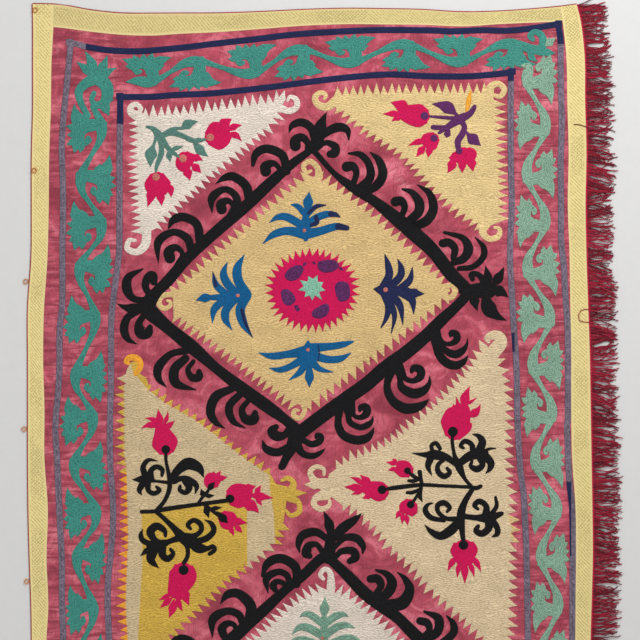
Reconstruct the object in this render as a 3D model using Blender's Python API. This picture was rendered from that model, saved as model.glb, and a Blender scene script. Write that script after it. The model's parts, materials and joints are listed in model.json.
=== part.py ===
# An embroidered suzani: a wadded satin field with a quilted cotton band sewn
# round it, a thin satin edging, a yarn fringe down its right side and small
# rings tied to its left side. It lies flat and face up.
# Metres, +Z up. +X runs across the cloth and +Y along it, from foot to head.

import math
from collections import namedtuple

import bmesh
import bpy
import numpy as np
from mathutils import Matrix

# The cloth as it was cut, before wear and washing pulled it out of true
CLOTH_WIDTH = 1.320
CLOTH_LENGTH = 2.256
SIDE_BAND = 0.044
END_BAND = 0.042
HALF_WIDTH = CLOTH_WIDTH / 2
HALF_LENGTH = CLOTH_LENGTH / 2
SATIN_HALF_WIDTH = HALF_WIDTH - SIDE_BAND
SATIN_HALF_LENGTH = HALF_LENGTH - END_BAND

SATIN_THICK = 0.0020
BAND_THICK = 0.0025
EDGING_WIDTH = 0.0025
EDGING_THICK = 0.0016
SEAM_GAP = 0.0003

# The grid that the sheets' facets follow, finer where the deepest folds are
CLOTH_PITCH = 0.040
FINE_PITCH = 0.020
FINE_ACROSS = (0.11, 0.32)
FINE_ALONG = (0.56, 0.78)

# The fringe: a heading strip and flat strands that lie on the floor
HEADING_WIDTH = 0.009
HEADING_THICK = 0.0022
STRAND_COUNT = 160
STRAND_LENGTH = 0.082
STRAND_ROOT_SHARE = 0.56
STRAND_TIP_WIDTH = 0.0055
STRAND_STEPS = 2
HEAD_LOCK = 0.066

# The rings and the thread that holds each one
RING_RADIUS = 0.0054
WIRE_RADIUS = 0.0012
THREAD_RADIUS = 0.00045
RING_SEGMENTS = 16
WIRE_SEGMENTS = 6
LIFTED_WIRE_HEIGHT = 0.0025

# Where the long edges and seams really run: x at each place along the cloth
Side = namedtuple("Side", "along edge_left satin_left satin_right edge_right")
SIDES = [
    Side(-1.128, -0.656, -0.612, 0.613, 0.656),
    Side(-1.040, -0.656, -0.613, 0.614, 0.657),
    Side(-0.900, -0.660, -0.616, 0.616, 0.659),
    Side(-0.750, -0.662, -0.619, 0.619, 0.661),
    Side(-0.600, -0.660, -0.617, 0.617, 0.661),
    Side(-0.450, -0.656, -0.618, 0.618, 0.658),
    Side(-0.350, -0.656, -0.621, 0.620, 0.657),
    Side(-0.280, -0.657, -0.617, 0.620, 0.659),
    Side(-0.162, -0.661, -0.621, 0.622, 0.662),
    Side(-0.045, -0.664, -0.618, 0.621, 0.661),
    Side(0.073, -0.665, -0.626, 0.613, 0.659),
    Side(0.190, -0.665, -0.626, 0.611, 0.657),
    Side(0.308, -0.665, -0.629, 0.611, 0.655),
    Side(0.425, -0.665, -0.627, 0.609, 0.651),
    Side(0.543, -0.657, -0.619, 0.607, 0.647),
    Side(0.660, -0.656, -0.616, 0.603, 0.645),
    Side(0.778, -0.656, -0.615, 0.605, 0.647),
    Side(0.895, -0.653, -0.611, 0.602, 0.644),
    Side(1.013, -0.653, -0.609, 0.599, 0.642),
    Side(1.086, -0.653, -0.605, 0.591, 0.633),
    Side(1.128, -0.654, -0.604, 0.586, 0.624),
]

# Where the head edge and its seam really run: y at each place across
Head = namedtuple("Head", "across satin edge")
HEAD = [
    Head(-0.660, 1.0928, 1.1445),
    Head(-0.604, 1.0887, 1.1423),
    Head(-0.520, 1.0782, 1.1287),
    Head(-0.450, 1.0716, 1.1221),
    Head(-0.378, 1.0697, 1.1217),
    Head(-0.308, 1.0740, 1.1219),
    Head(-0.226, 1.0775, 1.1221),
    Head(-0.120, 1.0848, 1.1252),
    Head(0.000, 1.0935, 1.1308),
    Head(0.092, 1.0965, 1.1332),
    Head(0.186, 1.0960, 1.1322),
    Head(0.280, 1.0949, 1.1304),
    Head(0.374, 1.0916, 1.1249),
    Head(0.468, 1.0970, 1.1268),
    Head(0.562, 1.1010, 1.1332),
    Head(0.604, 1.1026, 1.1369),
    Head(0.660, 1.1070, 1.1433),
]

# The foot end only sways a little, in one soft wave
FOOT_SWAY = 0.004
FOOT_WAVES = 9.0

# Main folds and swells of the satin: centre, length, half width, height, and
# the turn of the ridge from +X, in degrees
Fold = namedtuple("Fold", "x y length half_width height turn")
FOLDS = [
    Fold(0.196, 0.716, 0.200, 0.034, 0.0090, -46),
    Fold(0.158, 0.672, 0.130, 0.026, 0.0060, 22),
    Fold(0.262, 0.640, 0.150, 0.030, 0.0070, -30),
    Fold(0.300, 0.598, 0.120, 0.028, 0.0050, 16),
    Fold(0.420, 0.560, 0.170, 0.040, 0.0040, -80),
    Fold(-0.570, 1.036, 0.120, 0.030, 0.0040, -55),
    Fold(-0.493, 0.494, 0.160, 0.036, 0.0050, -45),
    Fold(-0.505, 0.720, 0.150, 0.040, 0.0040, 70),
    Fold(-0.250, 0.455, 0.170, 0.040, 0.0050, -38),
    Fold(-0.125, 0.330, 0.150, 0.036, 0.0050, -32),
    Fold(0.210, 0.300, 0.170, 0.040, 0.0045, 38),
    Fold(-0.150, 0.780, 0.160, 0.040, 0.0045, 38),
    Fold(0.030, 0.090, 0.170, 0.040, 0.0045, -12),
    Fold(-0.005, -0.055, 0.150, 0.036, 0.0040, 10),
    Fold(0.540, -0.060, 0.190, 0.036, 0.0050, -48),
    Fold(0.538, 0.350, 0.150, 0.038, 0.0040, 60),
    Fold(-0.525, -0.320, 0.190, 0.038, 0.0060, 36),
    Fold(-0.548, 0.120, 0.150, 0.036, 0.0035, -62),
    Fold(0.150, -0.280, 0.160, 0.038, 0.0045, -40),
    Fold(-0.230, -0.300, 0.170, 0.040, 0.0045, 42),
    Fold(0.250, -0.640, 0.190, 0.042, 0.0055, 40),
    Fold(-0.260, -0.660, 0.180, 0.042, 0.0050, -38),
    Fold(0.020, -0.930, 0.200, 0.044, 0.0050, 14),
    Fold(-0.535, -0.800, 0.170, 0.040, 0.0045, 66),
    Fold(0.530, -0.780, 0.170, 0.040, 0.0045, -64),
]

# The folds fade out before they reach the bands, which lie flat
FOLD_REACH_ACROSS = 0.612
FOLD_REACH_ALONG = 1.075
FOLD_FADE = 0.055

# The rings: place along the left edge, and whether the ring lies on the band
# (+1) or on the floor beside the edge (-1)
Ring = namedtuple("Ring", "along side")
RINGS = [
    Ring(1.116, 1),
    Ring(0.747, 1),
    Ring(0.487, -1),
    Ring(0.141, -1),
    Ring(-0.216, -1),
    Ring(-0.545, -1),
    Ring(-0.850, 1),
    Ring(-1.112, -1),
]

# Colours and finish: red, green, blue, roughness, metallic
Finish = namedtuple("Finish", "red green blue rough metal")
FINISHES = {
    "rose_satin": Finish(0.47, 0.065, 0.10, 0.35, 0.0),
    "cream_cotton": Finish(0.78, 0.66, 0.33, 0.85, 0.0),
    "crimson_edging": Finish(0.36, 0.03, 0.06, 0.50, 0.0),
    "crimson_yarn": Finish(0.30, 0.015, 0.04, 0.80, 0.0),
    "ring_brass": Finish(0.60, 0.30, 0.12, 0.35, 1.0),
    "orange_thread": Finish(0.75, 0.25, 0.05, 0.70, 0.0),
}


def clear_scene():
    for thing in list(bpy.data.objects):
        bpy.data.objects.remove(thing, do_unlink=True)


def make_material(name):
    finish = FINISHES[name]
    material = bpy.data.materials.new(name)
    material.use_nodes = True
    shader = material.node_tree.nodes["Principled BSDF"]
    shader.inputs["Base Color"].default_value = (finish.red, finish.green, finish.blue, 1.0)
    shader.inputs["Roughness"].default_value = finish.rough
    shader.inputs["Metallic"].default_value = finish.metal
    return material


# A smooth curve through one column of a table, as a function of place
def curve_through(rows, column):
    places = np.array([row[0] for row in rows])
    values = np.array([getattr(row, column) for row in rows])
    slopes = np.gradient(values, places)

    def read(place):
        place = np.clip(place, places[0], places[-1])
        i = np.clip(np.searchsorted(places, place) - 1, 0, len(places) - 2)
        span = places[i + 1] - places[i]
        t = (place - places[i]) / span
        start = (1 + 2 * t) * (1 - t) ** 2 * values[i] + t * (1 - t) ** 2 * span * slopes[i]
        end = t ** 2 * (3 - 2 * t) * values[i + 1] + t ** 2 * (t - 1) * span * slopes[i + 1]
        return start + end

    return read


EDGE_LEFT = curve_through(SIDES, "edge_left")
SATIN_LEFT = curve_through(SIDES, "satin_left")
SATIN_RIGHT = curve_through(SIDES, "satin_right")
EDGE_RIGHT = curve_through(SIDES, "edge_right")
SATIN_HEAD = curve_through(HEAD, "satin")
EDGE_HEAD = curve_through(HEAD, "edge")


# A straight-line map through the stops; past the last one sizes stay true
def stretch(value, stops, levels):
    if value <= stops[0]:
        return levels[0] + value - stops[0]
    for low, high, start, end in zip(stops, stops[1:], levels, levels[1:]):
        if value <= high:
            return start + (end - start) * (value - low) / (high - low)
    return levels[-1] + value - stops[-1]


# Where a point of the cloth as cut really lies on the floor
def lay(across, along):
    columns = [float(line(along)) for line in (EDGE_LEFT, SATIN_LEFT, SATIN_RIGHT, EDGE_RIGHT)]
    sway = FOOT_SWAY * math.sin(FOOT_WAVES * across)
    rows = [sway - HALF_LENGTH, sway - SATIN_HALF_LENGTH]
    rows += [float(line(across)) for line in (SATIN_HEAD, EDGE_HEAD)]
    x_stops = (-HALF_WIDTH, -SATIN_HALF_WIDTH, SATIN_HALF_WIDTH, HALF_WIDTH)
    y_stops = (-HALF_LENGTH, -SATIN_HALF_LENGTH, SATIN_HALF_LENGTH, HALF_LENGTH)
    return stretch(across, x_stops, columns), stretch(along, y_stops, rows)


def soft_step(value):
    t = min(max(value, 0.0), 1.0)
    return t * t * (3 - 2 * t)


def hump(value):
    return (1 - value * value) ** 2 if abs(value) < 1 else 0.0


# How high the cloth's underside stands off the floor
def fold_height(x, y):
    fade = soft_step((FOLD_REACH_ACROSS - abs(x)) / FOLD_FADE)
    fade *= soft_step((FOLD_REACH_ALONG - abs(y)) / FOLD_FADE)
    total = 0.0
    for fold in FOLDS:
        turn = math.radians(fold.turn)
        dx = x - fold.x
        dy = y - fold.y
        lengthways = (dx * math.cos(turn) + dy * math.sin(turn)) / (fold.length / 2)
        sideways = (dy * math.cos(turn) - dx * math.sin(turn)) / fold.half_width
        total += fold.height * hump(lengthways) * hump(sideways)
    return fade * total


# Evenly spaced places, closer together inside the fine stretch
def places_between(start, end, fine):
    stops = [start, fine[0], fine[1], end]
    places = [start]
    for low, high in zip(stops, stops[1:]):
        pitch = FINE_PITCH if low == fine[0] else CLOTH_PITCH
        count = max(1, round((high - low) / pitch))
        places += [low + (high - low) * step / count for step in range(1, count + 1)]
    return places


def band_places(start, end):
    return [start, (start + end) / 2, end]


# The outer places move in by half a seam gap, so neighbours lie a gap apart
def inset(places):
    return [places[0] + SEAM_GAP / 2] + places[1:-1] + [places[-1] - SEAM_GAP / 2]


def add_object(name, bm, material, collection):
    bmesh.ops.recalc_face_normals(bm, faces=bm.faces[:])
    mesh = bpy.data.meshes.new(name)
    bm.to_mesh(mesh)
    bm.free()
    mesh.materials.append(material)
    thing = bpy.data.objects.new(name, mesh)
    collection.objects.link(thing)
    return thing


# A sheet with upright sides: a grid laid out on the floor and raised by its
# thickness, so that it follows the folds
def sheet_mesh(across, along, thickness):
    bm = bmesh.new()
    columns = len(across) - 1
    rows = len(along) - 1
    bmesh.ops.create_grid(bm, x_segments=columns, y_segments=rows, size=0.5)
    for vert in bm.verts:
        column = round((vert.co.x + 0.5) * columns)
        row = round((vert.co.y + 0.5) * rows)
        x, y = lay(across[column], along[row])
        vert.co = (x, y, fold_height(x, y))
    raised = bmesh.ops.extrude_face_region(bm, geom=bm.faces[:])
    tops = [item for item in raised["geom"] if isinstance(item, bmesh.types.BMVert)]
    bmesh.ops.translate(bm, verts=tops, vec=(0, 0, thickness))
    return bm


def make_sheets(materials, collection):
    field_across = places_between(-SATIN_HALF_WIDTH, SATIN_HALF_WIDTH, FINE_ACROSS)
    field_along = places_between(-SATIN_HALF_LENGTH, SATIN_HALF_LENGTH, FINE_ALONG)
    left = band_places(-HALF_WIDTH, -SATIN_HALF_WIDTH)
    right = band_places(SATIN_HALF_WIDTH, HALF_WIDTH)
    foot = band_places(-HALF_LENGTH, -SATIN_HALF_LENGTH)
    head = band_places(SATIN_HALF_LENGTH, HALF_LENGTH)
    full_along = foot[:-1] + field_along + head[1:]
    full_across = left[:-1] + field_across + right[1:]
    edging_left = [-HALF_WIDTH - EDGING_WIDTH, -HALF_WIDTH]
    edging_head = [HALF_LENGTH, HALF_LENGTH + EDGING_WIDTH]
    edging_foot = [-HALF_LENGTH - EDGING_WIDTH, -HALF_LENGTH]

    Sheet = namedtuple("Sheet", "name across along thickness finish")
    sheets = [
        Sheet("satin_field", field_across, field_along, SATIN_THICK, "rose_satin"),
        Sheet("band_left", left, full_along, BAND_THICK, "cream_cotton"),
        Sheet("band_right", right, full_along, BAND_THICK, "cream_cotton"),
        Sheet("band_head", field_across, head, BAND_THICK, "cream_cotton"),
        Sheet("band_foot", field_across, foot, BAND_THICK, "cream_cotton"),
        Sheet("edging_left", edging_left, full_along, EDGING_THICK, "crimson_edging"),
        Sheet("edging_head", full_across, edging_head, EDGING_THICK, "crimson_edging"),
        Sheet("edging_foot", full_across, edging_foot, EDGING_THICK, "crimson_edging"),
    ]
    for sheet in sheets:
        bm = sheet_mesh(inset(sheet.across), inset(sheet.along), sheet.thickness)
        add_object(sheet.name, bm, materials[sheet.finish], collection)


# How far a strand leans along the cloth for each metre of its length. The
# lock at the head swings up towards its foot end, the next ones part from it
# and droop, and the rest sway a little to either side.
def strand_lean(along):
    from_head = (HALF_LENGTH - along) / HEAD_LOCK
    head_lock = (0.15 + 0.32 * from_head) * soft_step((1.10 - from_head) / 0.30)
    droop = -0.12 * hump((along - 0.985) / 0.06)
    wave = 0.08 * math.sin(20.0 * along + 1.0) + 0.04 * math.sin(37.0 * along + 2.2)
    return max(head_lock, 0.0) + droop + wave - 0.04


# The fringe is one strip; each strand grows out of a cell of its outer side
def make_fringe(material, collection):
    inner = HALF_WIDTH
    outer = HALF_WIDTH + HEADING_WIDTH
    start = -HALF_LENGTH + 0.006
    pitch = (2 * HALF_LENGTH - 0.012) / STRAND_COUNT
    root_width = pitch * STRAND_ROOT_SHARE
    along = [start]
    for number in range(STRAND_COUNT):
        root = start + (number + 0.5) * pitch
        along += [root - root_width / 2, root + root_width / 2]
    along.append(start + STRAND_COUNT * pitch)
    bm = sheet_mesh([inner + SEAM_GAP / 2, outer], along, HEADING_THICK)
    bmesh.ops.recalc_face_normals(bm, faces=bm.faces[:])

    bm.faces.ensure_lookup_table()
    outer_side = [face for face in bm.faces if abs(face.normal.z) < 0.5 and face.normal.x > 0.7]
    outer_side.sort(key=lambda face: face.calc_center_median().y)
    roots = outer_side[1::2]
    for number, root in enumerate(roots):
        place = start + (number + 0.5) * pitch
        grow_strand(bm, root, place, root_width)
    return add_object("fringe", bm, material, collection)


# One strand: the root face pushed out step by step along a soft curve
def grow_strand(bm, root, place, root_width):
    length = STRAND_LENGTH * (1 + 0.06 * math.sin(53.0 * place) + 0.03 * math.sin(171.0 * place))
    lean = strand_lean(place)
    middle = root.calc_center_median()
    face = root
    for step in range(1, STRAND_STEPS + 1):
        share = step / STRAND_STEPS
        width = root_width + (STRAND_TIP_WIDTH - root_width) * share
        reach = length * share
        x = middle.x + reach * (1 - 0.25 * lean * lean)
        y = middle.y + reach * lean * (0.6 + 0.4 * share)
        grown = bmesh.ops.extrude_discrete_faces(bm, faces=[face])
        face = grown["faces"][0]
        centre = face.calc_center_median()
        for vert in face.verts:
            side = 1 if vert.co.y > centre.y else -1
            vert.co.x = x
            vert.co.y = y + side * width / 2


# A ring lies flat on the band, or beside the edge with its near side lifted
# by the thread; the thread passes over the wire and down into the ring
def make_ring(number, ring, materials, collection):
    edge_x, edge_y = lay(-HALF_WIDTH, ring.along)
    if ring.side > 0:
        near_height = BAND_THICK + SEAM_GAP + WIRE_RADIUS
        far_height = near_height
        wire_x = edge_x + 0.0006
        floor_inside = BAND_THICK
    else:
        near_height = LIFTED_WIRE_HEIGHT
        far_height = WIRE_RADIUS
        wire_x = edge_x - EDGING_WIDTH - SEAM_GAP - WIRE_RADIUS
        floor_inside = 0.0
    drop = near_height - far_height
    tilt = math.asin(drop / (2 * RING_RADIUS)) * -ring.side
    centre_x = wire_x + ring.side * RING_RADIUS * math.cos(tilt)
    centre = (centre_x, edge_y, (near_height + far_height) / 2)

    bpy.ops.mesh.primitive_torus_add(
        major_segments=RING_SEGMENTS, minor_segments=WIRE_SEGMENTS,
        major_radius=RING_RADIUS, minor_radius=WIRE_RADIUS)
    hoop = bpy.context.object
    hoop.name = "ring_%d" % number
    hoop.data.name = hoop.name
    hoop.data.materials.append(materials["ring_brass"])
    hoop.data.shade_smooth()
    hoop.location = centre
    hoop.rotation_euler = (0, -tilt, 0)
    for owner in list(hoop.users_collection):
        owner.objects.unlink(hoop)
    collection.objects.link(hoop)

    over = WIRE_RADIUS + SEAM_GAP + THREAD_RADIUS
    foot_height = EDGING_THICK + SEAM_GAP + THREAD_RADIUS
    foot_x = edge_x - EDGING_WIDTH / 2
    low = floor_inside + SEAM_GAP + THREAD_RADIUS
    slope = over * math.sin(math.radians(40))
    rise = over * math.cos(math.radians(40))
    route = [
        (foot_x, foot_height),
        (wire_x - ring.side * slope, near_height + rise),
        (wire_x + ring.side * slope, near_height + rise),
        (wire_x + ring.side * over, near_height),
        (wire_x + ring.side * over, low),
    ]
    curve = bpy.data.curves.new("ring_tie_%d" % number, "CURVE")
    curve.dimensions = "3D"
    curve.bevel_depth = THREAD_RADIUS
    curve.bevel_resolution = 1
    curve.use_fill_caps = True
    spline = curve.splines.new("POLY")
    spline.points.add(len(route) - 1)
    for point, (x, z) in zip(spline.points, route):
        point.co = (x, edge_y, z, 1)
    curve.materials.append(materials["orange_thread"])
    collection.objects.link(bpy.data.objects.new(curve.name, curve))


# Everything hangs from one empty, moved so that the part's origin is under
# the middle of its box
def centre_on_origin(collection):
    bpy.context.view_layer.update()
    corners = []
    for thing in collection.objects:
        if thing.type == "MESH":
            corners += [thing.matrix_world @ vert.co for vert in thing.data.vertices]
    xs = [corner.x for corner in corners]
    ys = [corner.y for corner in corners]
    holder = bpy.data.objects.new("suzani", None)
    collection.objects.link(holder)
    for thing in collection.objects:
        if thing is not holder:
            thing.parent = holder
    middle = ((min(xs) + max(xs)) / 2, (min(ys) + max(ys)) / 2)
    holder.matrix_world = Matrix.Translation((-middle[0], -middle[1], 0))
    print("middle of the box: %.6f %.6f" % middle)


def main():
    clear_scene()
    collection = bpy.data.collections.new("suzani embroidered textile")
    bpy.context.scene.collection.children.link(collection)
    materials = {name: make_material(name) for name in FINISHES}
    make_sheets(materials, collection)
    make_fringe(materials["crimson_yarn"], collection)
    for number, ring in enumerate(RINGS, start=1):
        make_ring(number, ring, materials, collection)
    centre_on_origin(collection)


main()
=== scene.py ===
# The finish of an embroidered suzani that lies flat: satin, quilted cotton
# bands, chain-stitch embroidery, yarn fringe and small rings.
# Places on the cloth are in metres from its middle, +X to the fringe and +Y
# to the head. Motifs are placed by photo pixels, through onCloth.
import json
import math

import bpy
import numpy as np
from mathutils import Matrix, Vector
from mathutils.geometry import delaunay_2d_cdt
from mathutils.kdtree import KDTree

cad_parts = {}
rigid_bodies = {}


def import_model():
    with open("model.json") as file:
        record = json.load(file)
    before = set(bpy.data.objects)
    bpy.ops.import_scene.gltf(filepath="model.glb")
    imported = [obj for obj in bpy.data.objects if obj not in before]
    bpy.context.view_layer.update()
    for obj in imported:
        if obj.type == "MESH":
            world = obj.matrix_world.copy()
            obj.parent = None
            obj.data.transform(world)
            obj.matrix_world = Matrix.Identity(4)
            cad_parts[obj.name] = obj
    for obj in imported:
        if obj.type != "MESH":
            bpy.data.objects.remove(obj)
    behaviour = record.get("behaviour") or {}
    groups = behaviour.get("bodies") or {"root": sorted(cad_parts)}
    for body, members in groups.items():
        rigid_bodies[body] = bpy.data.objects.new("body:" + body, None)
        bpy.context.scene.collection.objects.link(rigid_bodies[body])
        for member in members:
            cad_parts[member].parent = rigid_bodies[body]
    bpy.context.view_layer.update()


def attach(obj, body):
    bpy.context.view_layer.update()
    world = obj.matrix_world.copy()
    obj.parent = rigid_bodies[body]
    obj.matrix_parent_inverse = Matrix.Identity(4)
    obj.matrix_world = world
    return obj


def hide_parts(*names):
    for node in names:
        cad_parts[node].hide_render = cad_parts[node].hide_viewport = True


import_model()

# The cloth as it was cut, as in the part's own sizes
cloth = {
    "halfWidth": 0.660,
    "halfLength": 1.128,
    "satinHalfWidth": 0.616,
    "satinHalfLength": 1.086,
    "satinThick": 0.0020,
    "bandThick": 0.0025,
    "seamGap": 0.0003,
    "middle": (0.038343, 0.006247),  # the cloth's middle, seen from the part's origin, turned about
    "footSway": 0.004,
    "footWaves": 9.0,
    "foldReach": (0.612, 1.075),
    "foldFade": 0.055,
}

# How the photo's pixels fall on the cloth
photo = {"pixel": 0.00235, "middleX": 311.0, "middleY": 491.0, "frame": 640}

# Where the long edges and seams really run, at each place along the cloth
sideRows = {
    "along": [-1.128, -1.040, -0.900, -0.750, -0.600, -0.450, -0.350, -0.280, -0.162, -0.045, 0.073,
              0.190, 0.308, 0.425, 0.543, 0.660, 0.778, 0.895, 1.013, 1.086, 1.128],
    "edgeLeft": [-0.656, -0.656, -0.660, -0.662, -0.660, -0.656, -0.656, -0.657, -0.661, -0.664, -0.665,
                 -0.665, -0.665, -0.665, -0.657, -0.656, -0.656, -0.653, -0.653, -0.653, -0.654],
    "satinLeft": [-0.612, -0.613, -0.616, -0.619, -0.617, -0.618, -0.621, -0.617, -0.621, -0.618, -0.626,
                  -0.626, -0.629, -0.627, -0.619, -0.616, -0.615, -0.611, -0.609, -0.605, -0.604],
    "satinRight": [0.613, 0.614, 0.616, 0.619, 0.617, 0.618, 0.620, 0.620, 0.622, 0.621, 0.613,
                   0.611, 0.611, 0.609, 0.607, 0.603, 0.605, 0.602, 0.599, 0.591, 0.586],
    "edgeRight": [0.656, 0.657, 0.659, 0.661, 0.661, 0.658, 0.657, 0.659, 0.662, 0.661, 0.659,
                  0.657, 0.655, 0.651, 0.647, 0.645, 0.647, 0.644, 0.642, 0.633, 0.624],
}

# Where the head edge and its seam really run, at each place across the cloth
headRows = {
    "across": [-0.660, -0.604, -0.520, -0.450, -0.378, -0.308, -0.226, -0.120, 0.000, 0.092, 0.186,
               0.280, 0.374, 0.468, 0.562, 0.604, 0.660],
    "satin": [1.0928, 1.0887, 1.0782, 1.0716, 1.0697, 1.0740, 1.0775, 1.0848, 1.0935, 1.0965, 1.0960,
              1.0949, 1.0916, 1.0970, 1.1010, 1.1026, 1.1070],
    "edge": [1.1445, 1.1423, 1.1287, 1.1221, 1.1217, 1.1219, 1.1221, 1.1252, 1.1308, 1.1332, 1.1322,
             1.1304, 1.1249, 1.1268, 1.1332, 1.1369, 1.1433],
}

# Main folds: x, y, length, half width, height, turn from +X in degrees
foldRows = [
    (0.196, 0.716, 0.200, 0.034, 0.0090, -46), (0.158, 0.672, 0.130, 0.026, 0.0060, 22),
    (0.262, 0.640, 0.150, 0.030, 0.0070, -30), (0.300, 0.598, 0.120, 0.028, 0.0050, 16),
    (0.420, 0.560, 0.170, 0.040, 0.0040, -80), (-0.570, 1.036, 0.120, 0.030, 0.0040, -55),
    (-0.493, 0.494, 0.160, 0.036, 0.0050, -45), (-0.505, 0.720, 0.150, 0.040, 0.0040, 70),
    (-0.250, 0.455, 0.170, 0.040, 0.0050, -38), (-0.125, 0.330, 0.150, 0.036, 0.0050, -32),
    (0.210, 0.300, 0.170, 0.040, 0.0045, 38), (-0.150, 0.780, 0.160, 0.040, 0.0045, 38),
    (0.030, 0.090, 0.170, 0.040, 0.0045, -12), (-0.005, -0.055, 0.150, 0.036, 0.0040, 10),
    (0.540, -0.060, 0.190, 0.036, 0.0050, -48), (0.538, 0.350, 0.150, 0.038, 0.0040, 60),
    (-0.525, -0.320, 0.190, 0.038, 0.0060, 36), (-0.548, 0.120, 0.150, 0.036, 0.0035, -62),
    (0.150, -0.280, 0.160, 0.038, 0.0045, -40), (-0.230, -0.300, 0.170, 0.040, 0.0045, 42),
    (0.250, -0.640, 0.190, 0.042, 0.0055, 40), (-0.260, -0.660, 0.180, 0.042, 0.0050, -38),
    (0.020, -0.930, 0.200, 0.044, 0.0050, 14), (-0.535, -0.800, 0.170, 0.040, 0.0045, 66),
    (0.530, -0.780, 0.170, 0.040, 0.0045, -64),
]


# A smooth curve through one column of a table, as a function of place
def curveThrough(rows, place, column):
    places = np.array(rows[place])
    values = np.array(rows[column])
    slopes = np.gradient(values, places)

    def read(at):
        at = np.clip(at, places[0], places[-1])
        i = np.clip(np.searchsorted(places, at) - 1, 0, len(places) - 2)
        span = places[i + 1] - places[i]
        t = (at - places[i]) / span
        start = (1 + 2 * t) * (1 - t) ** 2 * values[i] + t * (1 - t) ** 2 * span * slopes[i]
        end = t ** 2 * (3 - 2 * t) * values[i + 1] + t ** 2 * (t - 1) * span * slopes[i + 1]
        return start + end

    return read


sideNames = ("edgeLeft", "satinLeft", "satinRight", "edgeRight")
sideLines = [curveThrough(sideRows, "along", name) for name in sideNames]
satinHead, edgeHead = (curveThrough(headRows, "across", name) for name in ("satin", "edge"))


# A straight-line map through four stops; past the last one sizes stay true
def stretch(value, stops, levels):
    result = levels[0] + value - stops[0]
    for low, high, start, end in zip(stops, stops[1:], levels, levels[1:]):
        inside = start + (end - start) * (value - low) / (high - low)
        result = np.where(value > low, inside, result)
    return np.where(value > stops[-1], levels[-1] + value - stops[-1], result)


# Where points of the cloth as cut really lie on the floor
def layCloth(across, along):
    across = np.asarray(across, float)
    along = np.asarray(along, float)
    sway = cloth["footSway"] * np.sin(cloth["footWaves"] * across)
    width, satinWidth = cloth["halfWidth"], cloth["satinHalfWidth"]
    length, satinLength = cloth["halfLength"], cloth["satinHalfLength"]
    columns = [line(along) for line in sideLines]
    rows = [sway - length, sway - satinLength, satinHead(across), edgeHead(across)]
    x = stretch(across, [-width, -satinWidth, satinWidth, width], columns)
    return x, stretch(along, [-length, -satinLength, satinLength, length], rows)


def softStep(value):
    t = np.clip(value, 0, 1)
    return t * t * (3 - 2 * t)


def hump(value):
    return np.where(np.abs(value) < 1, (1 - value * value) ** 2, 0)


# How high the cloth's underside stands off the floor
def foldHeight(x, y):
    fade = softStep((cloth["foldReach"][0] - np.abs(x)) / cloth["foldFade"])
    fade = fade * softStep((cloth["foldReach"][1] - np.abs(y)) / cloth["foldFade"])
    total = np.zeros_like(x)
    for foldX, foldY, length, halfWidth, height, degrees in foldRows:
        turn = math.radians(degrees)
        dx = x - foldX
        dy = y - foldY
        lengthways = (dx * math.cos(turn) + dy * math.sin(turn)) / (length / 2)
        sideways = (dy * math.cos(turn) - dx * math.sin(turn)) / halfWidth
        total += height * hump(lengthways) * hump(sideways)
    return fade * total


# A photo pixel as a place on the cloth
def onCloth(px, py):
    return (px - photo["middleX"]) * photo["pixel"], (photo["middleY"] - py) * photo["pixel"]


# Mesh and shader helpers

# One socket of a shader, with Python's own arithmetic
class Wire:
    def __init__(self, paint, socket):
        self.paint = paint
        self.socket = socket

    def maths(self, operation, *others):
        return self.paint.maths(operation, self, *others)

    def __add__(self, other):
        return self.maths("ADD", other)

    def __radd__(self, other):
        return self.paint.maths("ADD", other, self)

    def __sub__(self, other):
        return self.maths("SUBTRACT", other)

    def __rsub__(self, other):
        return self.paint.maths("SUBTRACT", other, self)

    def __mul__(self, other):
        return self.maths("MULTIPLY", other)

    def __rmul__(self, other):
        return self.paint.maths("MULTIPLY", other, self)

    def __truediv__(self, other):
        return self.maths("DIVIDE", other)


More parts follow.
